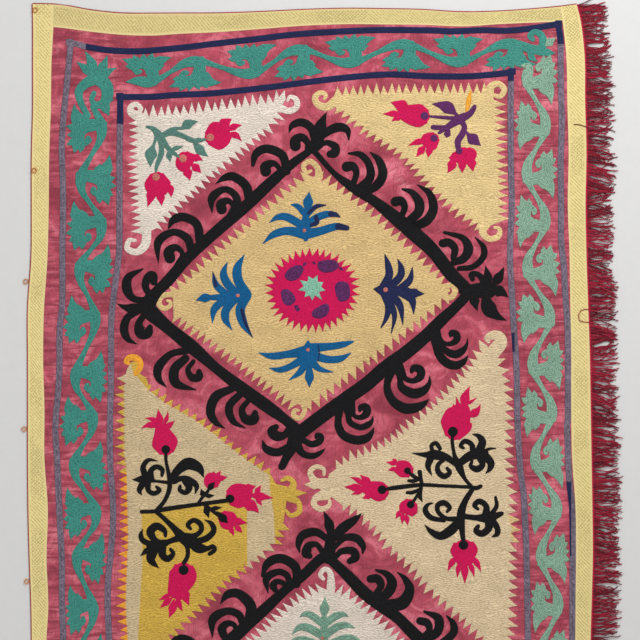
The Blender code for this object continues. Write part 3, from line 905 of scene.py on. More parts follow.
# Bars as rows of x, y and width
upperFrame = {
    "bars": [
        [(146, 306, 15), (157.4, 291.4, 10), (168.4, 280.4, 10), (187.4, 258.4, 9.5), (214.2, 233.4, 10),
         (245.1, 206.7, 10.5), (269, 184.2, 10), (291.4, 164.4, 8), (309, 151.5, 6), (315, 146, 6)],
        [(314, 151, 6), (317.6, 155, 5), (335, 174.1, 5), (353.4, 187.8, 9), (374.8, 201.6, 9),
         (396.2, 218.5, 12), (416.1, 235.3, 13), (434.5, 252.7, 12), (450.6, 273.5, 12), (466, 288, 10)],
        [(468, 294, 9), (455.3, 307.3, 9), (441.5, 320, 10.5), (424, 337.5, 11.5), (404.8, 353.4, 12),
         (385.7, 367.3, 12.3), (366.5, 384.1, 12.5), (347.4, 397.5, 12.3), (328.3, 411.3, 12.3),
         (309.1, 425.7, 12.3), (296, 436, 13)],
        [(296, 431, 14), (288, 422, 9), (268.9, 407.5, 11), (242.5, 388.5, 11), (216.1, 367.9, 9),
         (192.6, 347.4, 12), (168.5, 327.8, 11), (151.5, 313, 14), (146, 306, 15)],
    ],
    # Each hook runs from the bar round to its thick head
    "hooks": [
        [(149.5, 295, 6), (145.5, 286, 7), (148, 278, 8), (152.5, 276, 8.5), (154, 282, 6)],
        [(177.3, 265.2, 6), (182.5, 254, 4.5), (176, 247.5, 6), (169, 251.5, 8.5), (170, 258, 9)],
        [(229.1, 216.7, 6), (233.3, 206.3, 4.5), (227.8, 200.8, 5.5), (221.3, 203.8, 8), (221.8, 209.3, 8.5)],
        [(274.8, 179.3, 5), (279.3, 169.3, 4.5), (273.3, 163.3, 5.5), (265.8, 166.3, 8.5), (265.8, 171.3, 9)],
        [(306.4, 153.9, 5), (308, 143.9, 6), (302, 137.4, 7), (295.5, 140.4, 8.5), (295.5, 145.9, 9)],
        [(317.1, 148.7, 5), (325.8, 142.7, 5), (335.1, 146.7, 7), (334.6, 153.2, 7.5), (330.1, 154.2, 6)],
        [(353.3, 183.8, 6), (356.4, 172.8, 6), (352.8, 166.3, 7.5), (346.8, 166.8, 8.5)],
        [(400.8, 217.8, 6), (404.6, 207.8, 6), (401.3, 201.3, 7.5), (395.3, 201.8, 8)],
        [(453.3, 258.1, 6), (454.8, 248.8, 7), (449.3, 242.8, 7), (442.8, 243.3, 7)],
        [(289.5, 428.4, 7), (284.5, 434.9, 7), (276.5, 435.9, 9), (272, 430.9, 8), (276, 426.9, 5)],
        [(248.5, 400.4, 5), (242, 409.4, 6), (245.5, 418.9, 8), (253.5, 418.9, 9.5), (255, 412.9, 5)],
        [(193.5, 361.4, 4.5), (188, 369.4, 5), (192, 377.4, 6.5), (199, 376.9, 7), (199, 371.4, 4.5)],
        [(144.5, 314.4, 6), (139, 323.4, 7), (141, 331.9, 11), (147.5, 332.9, 9), (150, 327.4, 5)],
    ],
    # Each horn runs from the bar to its point
    "horns": [
        [(147.5, 301, 7), (133.5, 298.5, 6.5), (127, 288.5, 9), (129, 277, 7.5), (143, 268.8, 1.5)],
        [(191.5, 250, 8), (187, 238, 7.5), (173, 232.3, 6.5), (158.5, 242, 8), (158.4, 263.1, 0.5)],
        [(200.3, 241.3, 9), (196.8, 224.3, 8), (184.2, 217.1, 8), (173.8, 219.8, 7.5), (168, 229.3, 0.5)],
        [(238.2, 211.3, 8), (235.8, 196.3, 7), (224.9, 189.3, 6), (212.3, 197.8, 8), (212.2, 213.2, 0.5)],
        [(249.8, 201.3, 9), (245.8, 185.8, 8.5), (233.8, 176.8, 8), (224.8, 177.8, 6.5), (215.7, 183.7, 0.5)],
        [(286.8, 171.3, 8), (282.3, 155.3, 8), (266.9, 148.8, 8), (256.3, 153.8, 7.5), (252.8, 165.3, 3.5)],
        [(316, 142.9, 8), (311, 127.9, 7.5), (301.5, 122.4, 7.5), (292.5, 125.4, 6), (288.9, 132.8, 0.5)],
        [(359.8, 187.8, 8), (369.8, 178.3, 8), (369.3, 165.3, 7), (360.8, 154.8, 6), (348.5, 153.4, 2)],
        [(364.8, 191.8, 8), (376.8, 185.3, 8.5), (382.8, 173.8, 8.5), (378.8, 160.3, 7), (369.9, 152, 0.8)],
        [(407.8, 221.8, 8), (417.8, 212.8, 9), (419.3, 203.3, 9), (412.3, 192.8, 6), (402.1, 189.2, 2)],
        [(412.8, 227.3, 8), (426.8, 220.3, 9), (433.3, 208.3, 8.5), (429.3, 193.3, 6.5), (417.4, 184.8, 1)],
        [(454.1, 262.3, 7), (464, 258.1, 8), (468.3, 248.3, 9), (462.3, 237.8, 6), (444.2, 232.5, 3)],
        [(459, 268.5, 5), (473, 266.7, 5.5), (483, 257, 6), (483.2, 247, 5.5), (474.8, 236.9, 0.8)],
        [(290.5, 446.4, 8), (277.5, 452.2, 7.5), (266.5, 448.9, 7), (262.3, 440.2, 0.8)],
        [(241, 393.4, 7), (229.3, 406.4, 7.5), (233, 420.9, 6), (245.5, 428.1, 0.8)],
        [(232.5, 388.4, 7), (216, 396.4, 9), (210.5, 411.4, 8.5), (215.5, 421.9, 6), (224.7, 428.2, 0.8)],
        [(185.5, 358.4, 8), (174.7, 369.4, 9), (176.5, 383.4, 8.5), (196, 389.9, 1)],
        [(187.5, 350.4, 7), (170.5, 354.4, 6.5), (158.5, 367.4, 8.5), (159, 378.9, 6), (166.7, 387.2, 0.8)],
        [(139.5, 310.4, 6), (128, 317.4, 7), (124.1, 328.9, 8), (128, 338.9, 6), (136.5, 343.8, 1)],
    ],
    # Each leaf as root, tip, width and bend
    "leaves": [
        ((146, 306), (116.5, 303.4), 10.5, -0.12), ((318, 140), (327, 111.5), 12, -0.05),
        ((316, 150), (321, 124), 12, 0.0), ((486, 288), (485, 265.5), 10, 0.08),
        ((492, 286), (504, 266.5), 10, 0.05),
        ((490, 290), (508.4, 297.6), 11.5, -0.12), ((484, 293), (506.9, 320.8), 15, 0.16),
        ((474, 293), (477.5, 311), 10, 0.05),
    ],
    "extra": [
        [(436, 331, 9), (439.5, 339, 6), (444.5, 343.3, 4.5), (451, 343.6, 5), (456.6, 339.8, 7),
         (456, 334.3, 7.5), (451.3, 332.8, 6), (450.5, 335.5, 3.5)],
        [(436, 335, 8), (441, 345, 5.5), (447, 351.3, 7), (455, 354.3, 8), (462, 351, 7), (466.5, 345, 3.5),
         (467.5, 338.8, 0.8)],
        [(433, 333, 9), (436, 345, 8), (439.8, 355.5, 8.5), (447, 363, 9), (456, 365.3, 8.5),
         (463.5, 361.5, 6), (468, 355.6, 0.8)],
        [(397, 362, 10), (401.5, 372, 8), (405.5, 378.5, 5.5), (413, 380.8, 5.5), (420.3, 376.5, 8),
         (420.2, 369.8, 8.5), (413.8, 368, 7), (411.5, 371.5, 4)],
        [(396, 366, 9), (399.5, 377, 5.5), (402, 387.5, 8), (413.4, 393.4, 10), (423.5, 390.5, 8.5),
         (429, 383.5, 4.5), (429.7, 375.9, 0.8)],
        [(390.5, 372, 9.5), (387.3, 383, 7), (388, 392, 8), (394, 402, 9), (405, 408.3, 10.5),
         (416, 407.5, 9.5), (424, 403.5, 5.5), (428.7, 399.4, 0.8)],
        [(350, 399, 10), (351.5, 408, 8), (354.2, 415.5, 4.5), (360.5, 417.3, 5.5), (366.3, 413.5, 8),
         (366, 407.6, 8.5), (361, 407.5, 6.5), (359.8, 410.5, 3.5)],
        [(346, 405, 8), (348.3, 415, 6), (350.3, 422.5, 6), (360, 427.2, 6), (368, 424.6, 6.5),
         (372, 420.5, 3.5), (372.8, 416, 0.8)],
        [(339, 411, 9), (338.3, 419, 7), (338.6, 426.5, 8), (344, 435.5, 8.5), (356, 440, 9),
         (366, 438.3, 8.5), (371.5, 433, 5), (373.7, 427.6, 0.8)],
        [(299, 436, 10), (305, 441, 6), (312, 444, 6.5), (319, 441.5, 7), (320.8, 437, 7), (317, 435.3, 5.5),
         (316, 437.5, 3)],
        [(297, 443, 9), (300.5, 451, 7.5), (306, 455, 6.5), (314, 455.6, 6), (321, 452, 4),
         (324.9, 448.6, 0.8)],
        [(319.1, 138.7, 6), (330.1, 130.2, 8.5), (340.1, 127.2, 9), (347.6, 130.7, 6.5), (348.9, 140.2, 1)],
        [(486, 288, 10), (482.8, 279.7, 7), (477, 274, 5.5), (471.5, 274.5, 6), (472.5, 279, 5)],
        [(463, 291, 9), (475, 290.5, 14), (488, 290, 17)],
        [(295.5, 434.4, 13), (293, 444.4, 13), (287.5, 455.4, 9), (282, 466.4, 7.5)],
        [(313, 148.9, 8), (315.5, 139.9, 9), (318, 130.9, 10)],
    ],
}

lowerFrame = {
    "bars": [
        [(329, 556, 12), (319.2, 559.8, 9), (303.9, 574.5, 9), (285.5, 589.8, 8), (265.6, 608.2, 10),
         (250.3, 622.3, 10), (235.1, 635.8, 11), (205.3, 661.3, 10), (180.3, 681.3, 10), (166.3, 694.3, 11)],
        [(327, 556, 10), (333.5, 562, 8.5), (349, 577, 10), (364.2, 592.6, 11), (381, 605.4, 11),
         (397.8, 617.7, 10), (414.7, 634.5, 11), (438.9, 657.1, 12), (462.9, 681.1, 11), (480.9, 697.1, 9)],
    ],
    "hooks": [
        [(322.6, 551.9, 6), (316.6, 544.4, 5), (308.6, 545.9, 7), (306.6, 552.9, 8.5), (309.6, 555.9, 5)],
        [(335.2, 557.5, 5), (341.5, 551.2, 6), (352.5, 550.7, 7), (355.5, 557.2, 7), (349.5, 561, 5)],
        [(286.6, 589.9, 4.5), (283.6, 583.4, 5), (277.1, 581.4, 5), (273.1, 585.4, 6.5), (275.1, 589.4, 5)],
        [(236.6, 629.9, 5), (233.6, 624.4, 5), (227.1, 623.4, 6), (222.1, 628.4, 7.5), (223.6, 634.9, 6.5)],
        [(375.5, 593.2, 5), (381, 585.7, 7), (377.5, 578.7, 7.5), (370.5, 578.7, 6.5)],
        [(423.5, 636.2, 5), (429.3, 629.7, 6), (427, 622.7, 7), (420, 620.7, 6.5)],
    ],
    "horns": [
        [(328, 539.5, 6), (316, 532, 7.5), (303, 535, 8), (298.5, 544, 6), (299.7, 552.5, 1)],
        [(334, 548.5, 4), (344, 538, 6), (356, 538, 7.5), (363, 546, 6), (362.5, 553.7, 1)],
        [(289.6, 584.4, 6), (287.1, 575.4, 6), (277.9, 571.7, 6), (266.6, 578.4, 7.5), (268.1, 592.9, 0.8)],
        [(296.6, 583.9, 8), (295.6, 567.4, 8.5), (281.6, 558.4, 8.5), (268.1, 562.9, 8), (262.1, 575.9, 2.5)],
        [(242.6, 622.9, 7), (238.6, 614.4, 7), (226.6, 610.9, 7), (213.1, 618.9, 8.5), (212.4, 636.9, 0.8)],
        [(249.1, 619.9, 9), (250.6, 605.4, 10), (238.6, 593.7, 8.5), (227.6, 594.4, 7.5),
         (220.6, 603.4, 0.8)],
        [(372, 597.7, 8), (385.5, 594.7, 9), (392, 583.7, 9.5), (387, 574.2, 6.5), (375.8, 569.8, 2)],
        [(383.5, 604.2, 9), (401.5, 603.2, 12), (409.5, 589.7, 9), (405, 578.7, 5.5), (397.2, 572, 0.8)],
        [(425, 640.2, 8), (437.5, 631.2, 8.5), (438, 618.2, 8), (424, 611.2, 2)],
        [(439.5, 645.2, 8), (453, 633.2, 7.5), (453, 623.2, 6), (446.2, 615.2, 0.8)],
    ],
    "leaves": [((331, 537), (323.3, 510.5), 10, 0.06)],
    "extra": [
        [(333, 538.5, 8), (343, 528, 10.5), (354, 520, 7.5), (362, 513, 0.8)],
        [(328.8, 557.5, 13), (330.2, 543.5, 11), (331.5, 532.5, 9)],
    ],
}

# Out of the photo its hooks and horns go on at one pitch
repeats = {"hooks": [(3, -52), (5, 46)], "horns": [(4, -52), (5, -52), (8, 46), (9, 46)]}
for key, steps in repeats.items():
    for number, shiftX in steps:
        rows = lowerFrame[key][number]
        lowerFrame[key].append([(x + shiftX, y + 46, width) for x, y, width in rows])


# The hooks end in a full head, and the horns are fullest in their middles
fuller = {"hooks": (1.0, 1.06, 1.14, 1.2, 1.2, 1.1), "horns": (1.0, 1.08, 1.08, 1.05, 1.0)}
barShare = 1.14


def frameShapes(plan):
    shapes = [brush(*[(x, y, width * barShare) for x, y, width in rows]) for rows in plan["bars"]]
    shapes += [brush(*rows) for rows in plan["extra"]]
    for key, shares in fuller.items():
        for rows in plan[key]:
            shapes.append(brush(*[(x, y, width * share) for (x, y, width), share in zip(rows, shares)]))
    return shapes + [leaf(root, tip, width, bend) for root, tip, width, bend in plan["leaves"]]


# The unseen half of the lower frame repeats the upper frame's top half
unseen = {"mirrorY": 1001.0, "shiftX": 14.0, "clothMirrorY": 982.0}


def turnedOver(shapes, mirror, shift=0.0):
    return [np.stack([shape[:, 0] + shift, mirror - shape[:, 1]], axis=1) for shape in shapes]


# The head's motifs again at the foot
def atFoot(shapes, lower=0.0):
    return turnedOver(shapes, unseen["clothMirrorY"] + lower)


topHalf = [shape for shape in frameShapes(upperFrame) if shape[:, 1].mean() < 300]
footHalf = turnedOver(topHalf, unseen["mirrorY"], unseen["shiftX"])
sew("upperFrame", "black", frameShapes(upperFrame), height="frame", contrast=0.35)
sew("lowerFrame", "black", frameShapes(lowerFrame) + footHalf, height="frame", contrast=0.35)


# The toothed grounds: side lines run clockwise along the teeth's valleys

grounds = {
    "closer": 0.96,
    "deeper": 1.10,
    "grid": 0.0095,
}


def toothed(*sides):
    outline = []
    for path, pitch, depth, lean in sides:
        if pitch:
            outline.append(teeth(path, pitch * grounds["closer"], depth * grounds["deeper"], lean))
        else:
            outline.append(np.asarray(path, float))
    return np.vstack(outline)


def sewGround(name, colour, shapes, **limits):
    sew(name, colour, shapes, ground=True, contrast=0.2, grid=grounds["grid"], **limits)


diamondGround = toothed(
    ([(313, 177), (338.5, 192.5), (366.5, 214.5), (402.5, 247.5), (435, 278.5), (447.5, 291)], 9.2, 9.5, 0.1),
    ([(448, 292), (421, 315.5), (385.5, 343), (342, 376.7), (304.5, 405)], 9.6, 9.5, 0.3),
    ([(297.5, 404), (261, 375.5), (219, 343.5), (175, 312)], 8.0, 9.5, 0.1),
    ([(173, 296), (199.2, 273.2), (239.2, 238.2), (279.2, 203.2), (311, 176.5)], 9.2, 9.5, -0.1),
)
diamondCurls = drawn(
    [(303, 403, 6), (304.5, 411, 5), (300, 418, 5), (294, 416, 5.5), (294.5, 410.5, 4.5), (298.5, 410.5, 3)],
    [(181, 298, 10), (173, 294.6, 6), (165, 295, 5.5), (159.8, 299, 5.5), (159.6, 305, 5.5),
     (164.5, 308.5, 5), (170, 306, 4.5), (170.4, 302, 3.8), (167.4, 300.6, 3)],
    [(441, 291, 10), (445, 297, 6), (451.5, 297, 6), (455, 291, 6), (452, 286, 5), (447.5, 287, 4),
     (448.5, 291, 3)],
    [(319, 177, 8), (317.5, 168, 6), (310, 161.5, 5.5), (303.5, 166, 5), (306, 172.5, 4.5), (311, 171, 3)],
)
sewGround("diamondGround", "cream", [diamondGround] + diamondCurls)

lowGround = toothed(
    ([(327, 590), (348, 599), (377, 624), (392, 638.5), (430, 671), (466, 703)], 8.2, 10, 0.1),
    ([(466, 705), (400, 762), (329, 824)], 9.2, 9.5, 0.0),
    ([(325, 824), (254, 762), (182, 702)], 9.2, 9.5, 0.0),
    ([(182, 700), (220, 670), (259, 640), (296, 605), (325, 590)], 7.6, 10.5, -0.25),
)
lowCurls = drawn(
    [(331, 588, 9), (330.4, 573.5, 6), (325, 569, 5), (320.2, 574.5, 4.5), (323.5, 579, 3.5)],
)
lowCurls += turnedOver(diamondCurls[1:], unseen["mirrorY"], unseen["shiftX"])
sewGround("lowGround", "palePink", [lowGround] + lowCurls)

whiteGround = toothed(
    ([(142, 118), (197, 113.7), (233.5, 109), (281, 102)], 8.2, 10.5, 0.05),
    ([(281, 106), (268.6, 123.5), (240, 147), (208, 173), (180, 199), (152, 226)], 7.6, 9.4, -0.25),
    ([(142, 234), (140, 205), (138.5, 170), (138, 145), (139, 120)], 7.0, 9.6, -0.1),
)
whiteCurls = drawn(
    [(147, 228, 9), (145.5, 244, 9), (137, 252, 7), (127.5, 248.5, 6), (129.5, 240.5, 5), (135.3, 240.5, 3)],
    [(143, 119, 11), (131.5, 112.5, 8), (131.5, 106.5, 6), (136.7, 104.6, 5), (140.8, 108.5, 5),
     (138.8, 113, 4)],
    [(278, 106, 7), (288, 111, 6.5), (296.3, 107.5, 6), (296.3, 99.8, 5.5), (290, 97, 4), (287.5, 101, 2.5)],
    leaf((280, 106), (284.7, 90), 7),
)
sewGround("whiteGround", "white", [whiteGround] + whiteCurls)

strawGround = toothed(
    ([(334, 96), (380, 94.5), (421, 93.8), (480, 94), (488, 94)], 7.9, 9.5, 0.0),
    ([(494, 100), (494.5, 128), (496, 156), (498, 190), (497.5, 222)], 8.2, 10.5, 0.1),
    ([(485, 228), (461, 210), (436, 188), (416, 164), (395, 146), (371, 131), (349, 114), (338, 106)], 8.4,
     8.5, 0.3),
)
strawCurls = drawn(
    [(336, 101, 10), (327, 107, 8), (318, 104.5, 7), (315, 97.5, 6), (320.6, 92.8, 5), (326, 95.3, 4),
     (324.4, 99, 3)],
    [(489, 96, 10), (490.8, 87, 7.5), (498, 83.8, 6), (504, 89.2, 6), (500.5, 96.3, 5), (494.5, 95.5, 4)],
    [(487, 222, 10), (482.5, 232, 7.5), (489, 238.8, 6), (498.2, 236.3, 6), (499.5, 229, 4),
     (494.5, 227.5, 3)],
)
sewGround("strawGround", "straw", [strawGround] + strawCurls)

sandGround = toothed(
    ([(336, 469), (350, 461.5), (366, 455.5), (381, 450), (402, 436.5), (414, 425.5), (430, 413.5),
      (444, 400), (458, 385), (470, 373.5), (477, 361), (482, 353)], 7.9, 9.2, 0.1),
    ([(484, 353), (490, 354)], 0, 0, 0),
    ([(492, 358), (500.5, 370), (503, 385), (505, 405), (504, 440), (504.5, 476), (508.5, 494), (507.5, 512),
      (511, 530), (508.5, 552), (508, 600), (506, 655)], 9.8, 8.8, 0.32),
    ([(500, 655), (477.3, 628.2), (454.4, 607.2), (432.3, 587.2), (412.4, 562.7), (392.5, 546.2),
      (378, 526.3), (361, 511.3), (343, 499)], 9.0, 9, -0.2),
    ([(330, 496), (327, 484), (329, 474)], 0, 0, 0),
)
sandCurls = drawn(
    [(486, 364, 14), (493.5, 352, 14), (500.3, 343, 13.5), (498.6, 336.6, 11), (492, 335.4, 9),
     (487.6, 338.5, 7), (488.5, 342, 3.5)],
    [(326, 485, 14), (315, 481, 8), (310.2, 472, 5.5), (316, 466.8, 5), (323.5, 468.8, 4), (324, 474.5, 3)],
    [(326, 494, 12), (316, 498, 7), (314, 504.5, 6), (321, 509, 5.5), (329, 505.5, 4.5), (329.5, 500, 3)],
    leaf((322, 485), (304.2, 484.4), 9), leaf((487, 354), (478.8, 339.9), 8.5),
    leaf((500, 652), (504, 664), 8),
)
sewGround("sandGround", "sand", [sandGround] + sandCurls)
yellowPatch = blob((506, 517), (513, 513), (526, 519), (526, 538), (516, 543), (508, 539), (509, 528))
sew("sandYellow", "cream", [sandGround], ground=True, within=[yellowPatch])

leftGround = toothed(
    ([(131, 371), (145, 389), (164, 404), (192, 419.5), (214, 436), (240, 457), (269, 477)], 9.6, 8.5, 0.15),
    ([(276, 484), (284, 500), (284, 520)], 0, 0, 0),
    ([(283, 523), (268, 546), (247.4, 562), (224, 578), (204, 598), (185, 617), (169, 633), (150, 652)], 8.8,
     9, -0.3),
    ([(140, 664), (130, 650), (127, 603), (129.5, 540), (129, 506), (126, 450), (125.4, 400), (127, 375)],
     8.7, 9, 0.0),
)
leftTip = drawn(
    [(270, 491, 16), (286, 492.8, 13), (306.5, 492.8, 0.5)],
    [(291, 491, 9), (293.5, 483, 6), (288, 478, 5), (281.6, 480.5, 3)],
    [(289, 497, 9), (298.5, 502.5, 5.5), (299, 511.5, 5.5), (291, 515.3, 4.5), (286, 510.4, 3)],
    [(280, 494, 14), (279, 512, 12), (280, 526, 5)], [(138, 384, 20), (132, 374, 12), (134, 366, 9)],
)
leftCurl = drawn(
    [(135.5, 374, 5), (140.3, 366, 6.5), (137.5, 359, 7), (130.5, 357.5, 6.5), (126, 361.5, 5),
     (129.5, 364, 3)],
)
# Where the left ground's thread changes colour
zones = {
    "yellowField": [(141.5, 512), (180, 507), (226, 500), (247, 497), (247.5, 600), (190, 650), (120, 700),
                    (138, 640), (142.5, 560)],
    "yellowTip": [(269, 465), (270, 490), (274, 515), (275.5, 560), (310, 560), (320, 490), (290, 460)],
    "yellowTeeth": [(128, 350), (133, 371), (147, 388.5), (165, 403), (193, 418.5), (215, 434.5),
                    (241, 455.5), (269, 475), (310, 480), (280, 440), (180, 370), (130, 340)],
    "yellowLeftTeeth": [(100, 380), (123.5, 380), (124, 400), (124.5, 455), (126.5, 472), (100, 472)],
    "orangeLeftTeeth": [(100, 472), (126.5, 472), (127.5, 506), (128, 540), (125.5, 603), (128.5, 650),
                        (110, 700), (90, 600)],
}
zoneShapes = [np.array(points, float) for points in zones.values()]
allLeft = [leftGround] + leftTip
sewGround("leftGround", "beige", allLeft, cuts=zoneShapes)
sewGround("leftYellow", "yellow", allLeft, within=zoneShapes[:4])
sew("leftOrange", "orange", [leftGround], ground=True, within=zoneShapes[4:])
sew("leftCurl", "orange", leftCurl)

sewGround("footWhiteGround", "white", atFoot([whiteGround] + whiteCurls))
sewGround("footStrawGround", "straw", atFoot([strawGround] + strawCurls))


# The four border lines, as rows of x and y

lineWidth = 6.2
leftOuter = [(69.5, 41), (70.6, 45), (68.6, 68), (65.9, 95), (63.2, 122), (61.8, 149), (62.8, 177),
             (63.2, 213), (62.5, 250), (62.4, 301), (59.8, 330), (59.6, 362), (58.4, 390), (55.5, 426),
             (57.3, 460), (58.7, 494), (60, 521), (62, 562), (62, 603), (63.4, 640), (62, 700), (61, 780),
             (62, 860), (62.5, 942)]
leftInner = [(120.4, 93), (120.2, 122), (119.6, 149), (119.6, 200), (119.4, 247), (117.5, 267), (114.1, 294),
             (111.4, 322), (111.2, 376), (110, 426), (110.5, 467), (112.6, 494), (113.2, 521), (111.2, 549),
             (108.5, 576), (107.8, 603), (109.1, 640), (110, 720), (110.5, 810), (111, 901)]
rightInner = [(511, 69), (510.6, 110), (510.8, 163), (511.7, 204), (509.9, 254), (511.9, 295), (513.3, 322),
              (515.4, 349), (516.7, 376), (517.4, 420), (520.1, 467), (523.5, 494), (524.9, 521),
              (526.3, 549), (527, 590), (527.6, 640), (526, 720), (524, 810), (524, 901)]
rightOuter = [(557.5, 21), (560.4, 40), (560.6, 60), (561, 95), (561.7, 122), (560.6, 163), (561, 204),
              (561, 240), (563.8, 267), (565.2, 295), (567.2, 322), (567.9, 349), (567.8, 417), (567, 426),
              (569.2, 480), (572, 508), (572.7, 549), (572.4, 590), (572, 640), (571, 720), (571, 820),
              (572, 942)]
topOuter = [(67, 42), (78, 44.5), (87, 46.9), (109, 50.3), (136, 51.4), (163, 49.6), (190, 46.9), (213, 44),
            (254, 39.4), (294.5, 34.6), (335, 31.9), (376, 30.2), (426, 30.4), (453, 31.4), (481, 30.3),
            (508, 30.7), (535, 28), (561, 23.5)]
topInner = [(117.5, 97), (149.5, 97), (176.6, 95), (213, 93.3), (267, 87.6), (308, 82.2), (349, 77.4),
            (390, 74.5), (426, 76.2), (467, 76.4), (494, 74.4), (513.5, 72)]
footOuter = [(59, 943), (180, 945), (311, 943.5), (430, 944.5), (575, 943)]
footInner = [(108, 898), (200, 899), (311, 898), (420, 899), (527, 898)]
colourChange = {"topLeft": 86.0, "rightCorner": 44.0, "leftInner": 124.0, "rightInner": 81.0}


def ribbon(rows, width=lineWidth):
    return brush(*[(x, y, width) for x, y in rows], rounded=False, step=4.0)


def boxShape(left, top, right, bottom):
    return np.array([(left, top), (right, top), (right, bottom), (left, bottom)], float)


borderRows = (leftOuter, leftInner, rightInner, rightOuter, topOuter, topInner, footOuter, footInner)
everyLine = [ribbon(rows) for rows in borderRows]
corners = [(69.6, 42.4), (119.6, 96.4), (512.4, 71.4), (558.6, 23.6), (61.8, 943), (110, 898), (526, 898),
           (573, 943)]
everyLine += [boxShape(x - 3.4, y - 3.2, x + 3.4, y + 3.2) for x, y in corners]
navyZones = [
    boxShape(colourChange["topLeft"], 0, 564, 27.5), boxShape(colourChange["topLeft"], 27.5, 555.5, 58),
    boxShape(555.5, 27.5, 600, colourChange["rightCorner"]),
    boxShape(112, 90, 135, colourChange["leftInner"]), boxShape(135, 60, 505, 104),
    boxShape(505, 60, 520, colourChange["rightInner"]), boxShape(564, 482, 571, 556),
    boxShape(510, 333, 514.5, 352),
]
sew("borderGrey", "violetGrey", everyLine, contrast=0.3, grid=0.012, cuts=navyZones)
sew("borderNavy", "navy", everyLine, contrast=0.2, within=navyZones)


# The leafy vine between the lines

vine = {
    "swing": 8.9,
    "fullest": 11.0,
    "thinnest": 4.6,
    "laneHalf": 24.5,
    # A leaf's middle lobes: the root, the tip's x and y, and how loosely x is kept
    "lobes": [((8, -5), 18, -13, 1), ((10, -2), 20, -4.5, 0.7), ((10, 3), 20.3, 4.5, 0.7),
              ((10, 8), 19, 13.5, 1)],
}


# One bend's leaf in its own frame: across the lane, then along it
def vineLeaf():
    def wiggle(amount):
        return chance.uniform(-amount, amount)

    return [
        brush((-9, -7, 9), (-2, -6, 12), (6, -4, 13.5), (10.5, 1, 12.5), (10.5, 8, 10), (9, 13, 7)),
        brush((9, 12.5, 7), (5, 11.6, 7), (2.2, 9.4, 6.2), (2.4, 7, 4.6)),
        leaf((7, -6), (15.5 + wiggle(1), -27 + wiggle(2)), 10, 0.1),
        leaf((3, -8), (8, -17 + wiggle(1)), 5.5, 0, 0.4, 1.2),
        *[leaf(root, (x + wiggle(loose), y + wiggle(1)), 7.5, 0, 0.5, 1.8)
          for root, x, y, loose in vine["lobes"]],
        leaf((8.5, 9), (15 + wiggle(1), 23.5 + wiggle(2)), 8.5, -0.06),
        leaf((7, 11), (8 + wiggle(1), 21), 6, 0, 0.5, 1.5),
    ]


def laneRead(rows, at, axis):
    rows = np.array(rows)
    order = np.argsort(rows[:, axis])
    return np.interp(at, rows[order, axis], rows[order, 1 - axis])


# One border's vine: stops are places along it, with the leaf's side, +1 to the right or down
def vineRun(outer, inner, axis, stops, flipAlong, ends):
    shapes = []
    stem = []

    def onLane(across, along, at):
        first = laneRead(outer, at + along, axis)
        second = laneRead(inner, at + along, axis)
        lane = (first + second) / 2 + across * (abs(second - first) / 2 / vine["laneHalf"])
        return (lane, at + along) if axis == 1 else (at + along, lane)

    for number, (at, side) in enumerate(stops):
        for shape in vineLeaf():
            points = shape * [side, flipAlong]
            shapes.append(np.array([onLane(across, along, at) for across, along in points]))
        bulge = -side * vine["swing"]
        if number == 0 and ends[0] is not None:
            stem.append((*ends[0], 1.0))
        elif number == 0:
            stem.append((*onLane(0, -24, at), vine["thinnest"]))
        stem.append((*onLane(bulge * 0.84, -10, at), 8.5))
        stem.append((*onLane(bulge, -1.2 * flipAlong, at), vine["fullest"]))
        stem.append((*onLane(bulge * 0.84, 10, at), 7.0))
        if number + 1 < len(stops):
            half = (stops[number + 1][0] - at) / 2
            stem.append((*onLane(0, half, at), vine["thinnest"]))
        elif ends[1] is not None:
            stem.append((*ends[1], 1.0))
    return shapes + [brush(*stem)]


leftStops = [(131, -1), (182, 1), (228, -1), (272, 1), (322, -1), (378, 1), (422, -1), (468, 1), (515, -1),
             (560, 1), (611, -1), (659, 1), (707, -1), (754, 1), (802, -1), (850, 1)]
rightStops = [(77, 1), (125, -1), (173, 1), (220, -1), (268, 1), (316, -1), (364, 1), (412, -1), (460, 1),
              (508, -1), (556, 1), (604, -1), (652, 1), (700, -1), (748, 1), (796, -1), (844, 1)]
topStops = [(147, -1), (194, 1), (250, -1), (298, 1), (350, -1), (404, 1), (458, -1), (508, 1)]
footStops = [(160, 1), (208, -1), (256, 1), (304, -1), (352, 1), (400, -1), (448, 1), (496, -1)]

cornerFlower = drawn(
    [(88, 116, 6), (81.5, 104, 6.5), (79, 92, 8.5), (86, 83.5, 10), (97, 78, 13)],
    leaf((93, 77), (76.4, 62), 9, 0.05), leaf((95, 75), (85, 51), 10, 0.05),
    leaf((97, 76), (107.5, 55), 10, 0.05),
    leaf((101, 80), (117, 68), 8, -0.1), [(97, 78, 13), (105.6, 85, 13), (107.5, 94, 12), (105, 103, 10)],
    leaf((106, 86), (113.5, 86), 6), leaf((107, 93), (114, 92), 6), leaf((106, 99), (114, 100), 6),
    leaf((103, 103), (109.3, 116), 9.5), [(104, 104, 9), (96, 105, 7), (91.8, 99.5, 5), (94, 93.5, 5.5)],
)
cornerCurl = drawn(
    [(512, 43, 9), (522, 46, 9), (531, 49, 9), (541.2, 51, 10)],
    [(541, 50, 9), (543.2, 42, 8), (540.5, 34.5, 7), (534, 32, 6), (530, 36, 6), (532.6, 39.5, 5)],
    leaf((541, 52), (555.5, 53.4), 8), leaf((528, 52), (538, 61.7), 7, 0.1), leaf((518, 49), (524, 60), 6),
)
cornerMint = [leaf((545, 45.5), (555.8, 37.8), 8.5)]
topEnds = ((126.5, 82), (530, 49))
vineTeal = vineRun(leftOuter, leftInner, 1, leftStops, 1, (None, (86, 884)))
vineTop = vineRun(topOuter, topInner, 0, topStops, -1, topEnds)
